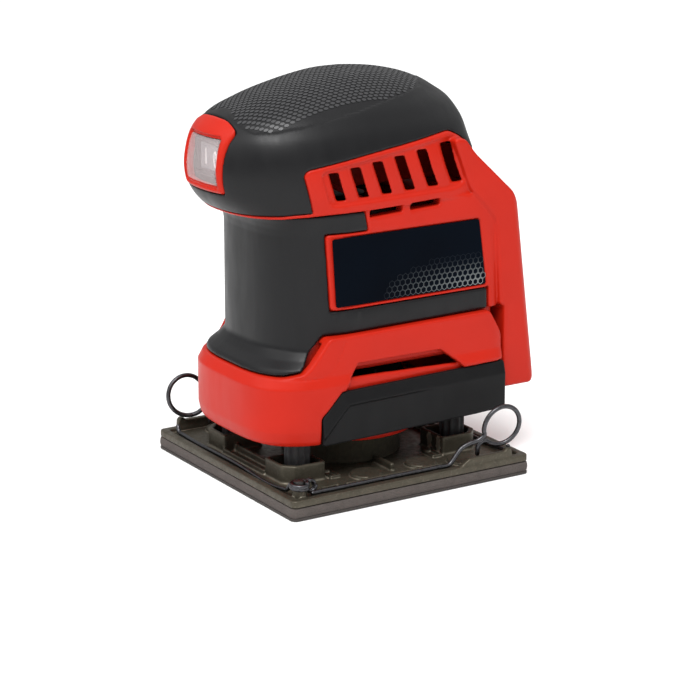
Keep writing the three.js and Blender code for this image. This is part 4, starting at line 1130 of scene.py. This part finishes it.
def screw_profile():
    """A screw from its tip to the floor of its recess, as (radius, x)."""
    profile = [(0, SCREW_TIP), (SCREW_RADIUS * 0.5, SCREW_TIP), (SCREW_RADIUS, SCREW_TIP - 1.2)]
    for i in range(int((SCREW_TIP - 2 - SCREW_TO) / 0.5)):
        profile.append((SCREW_RADIUS * (0.82 if i % 2 else 1.0), SCREW_TIP - 1.7 - 0.5 * i))
    profile += [(SCREW_RADIUS, SCREW_TO), (SCREW_HEAD, SCREW_TO), (SCREW_HEAD, SCREW_FROM + 0.7)]
    profile += [(SCREW_HEAD * 0.8, SCREW_FROM + 0.1), (1.6, SCREW_FROM), (1.45, SCREW_FROM + 0.2)]
    return profile + [(1.3, SCREW_FROM + 1.4), (0, SCREW_FROM + 1.5)]


def make_screws():
    """Housing screws with a six-lobed recess."""
    sides = 36
    turn = [2 * math.pi * i / sides for i in range(sides)]
    for place, (y, z) in HOUSING_SCREWS.items():
        work = bmesh.new()
        rings = []
        for radius, x in screw_profile():
            lobes = 0.14 if radius < 1.5 and x < SCREW_TO else 0
            ring = []
            for a in turn if radius else turn[:1]:
                r = radius * (1 + lobes * math.cos(6 * a))
                ring.append(work.verts.new((x, y + r * math.cos(a), z + r * math.sin(a))))
            rings.append(ring)
        skin(work, rings)
        piece = from_bmesh(f"screw_{place}", work, LOOKS["steel"], 35)
        put(piece, "housing", "steel", f"housing_screw_{place}")


# ---- Floor, lights and camera ----
CAMERA = {"azimuth": 57.89, "elevation": 15.61, "distance": 998.6, "right": -0.35, "up": 49.51, "lens": 128.0}


def view_axes():
    a, e = math.radians(CAMERA["azimuth"]), math.radians(CAMERA["elevation"])
    back = Vector((math.sin(a) * math.cos(e), -math.cos(a) * math.cos(e), math.sin(e)))
    right = Vector((math.cos(a), math.sin(a), 0))
    return right, back.cross(right), back


def make_camera():
    right, up, back = view_axes()
    camera = bpy.data.objects.new("camera", bpy.data.cameras.new("camera"))
    bpy.context.scene.collection.objects.link(camera)
    place = back * CAMERA["distance"] + right * CAMERA["right"] + up * CAMERA["up"]
    turn = Matrix((right, up, back)).transposed().to_4x4()
    camera.matrix_world = Matrix.Translation(place * MM) @ turn
    camera.data.lens = CAMERA["lens"]
    camera.data.sensor_width = 36
    camera.data.clip_start = 0.01
    bpy.context.scene.camera = camera


def lamp(name, kind, energy, towards, place=(0, 0, 0)):
    light = bpy.data.lights.new(name, kind)
    light.energy = energy
    made = bpy.data.objects.new(name, light)
    made.location = place
    made.rotation_euler = Vector(towards).to_track_quat("-Z", "Y").to_euler()
    bpy.context.scene.collection.objects.link(made)
    return light


def make_floor():
    floor = bpy.data.meshes.new("floor")
    reach = 6.0
    corners = [(-reach, -reach, 0), (reach, -reach, 0), (reach, reach, 0), (-reach, reach, 0)]
    floor.from_pydata(corners, [], [(0, 1, 2, 3)])
    ground = bpy.data.objects.new("floor", floor)
    ground.location.z = -0.0002
    bpy.context.scene.collection.objects.link(ground)
    look = Look("floor", (0.95, 0.95, 0.95), 0.9, specular=0.1).grain(3, 2, 0.02)
    floor.materials.append(look.material)


def make_light():
    """Even studio light: a sky that is brighter overhead, a soft sun from the front and an overhead key."""
    scene = bpy.context.scene
    scene.view_settings.view_transform = "Standard"
    world = bpy.data.worlds.new("studio")
    scene.world = world
    world.use_nodes = True
    nodes, links = world.node_tree.nodes, world.node_tree.links
    height = nodes.new("ShaderNodeSeparateXYZ")
    links.new(nodes.new("ShaderNodeTexCoord").outputs["Generated"], height.inputs[0])
    bright = nodes.new("ShaderNodeMapRange")
    Look.set(bright, {"From Min": 0.0, "From Max": 0.9, "To Min": 0.3, "To Max": 1.1})
    links.new(height.outputs["Z"], bright.inputs["Value"])
    Look.set(nodes["Background"], {"Color": (1, 1, 1, 1)})
    links.new(bright.outputs["Result"], nodes["Background"].inputs["Strength"])
    lamp("sun", "SUN", 0.95, (0.1, 0.9, -0.8)).angle = math.radians(50)
    key_place = Vector((0.58, -0.34, 1.1))
    lamp("key", "AREA", 13, Vector((0, 0, 0.1)) - key_place, key_place).size = 0.5


make_camera()
make_floor()
make_light()
finish_cad_nodes()
make_housing()
make_lower_housing()
make_front_grip()
make_dots(make_head_grip())
make_side_panels()
make_labels()
make_switch()
make_rocker()
make_base_plate()
make_pad()
make_clamps()
make_pillars()
make_frame_plate()
make_screws()
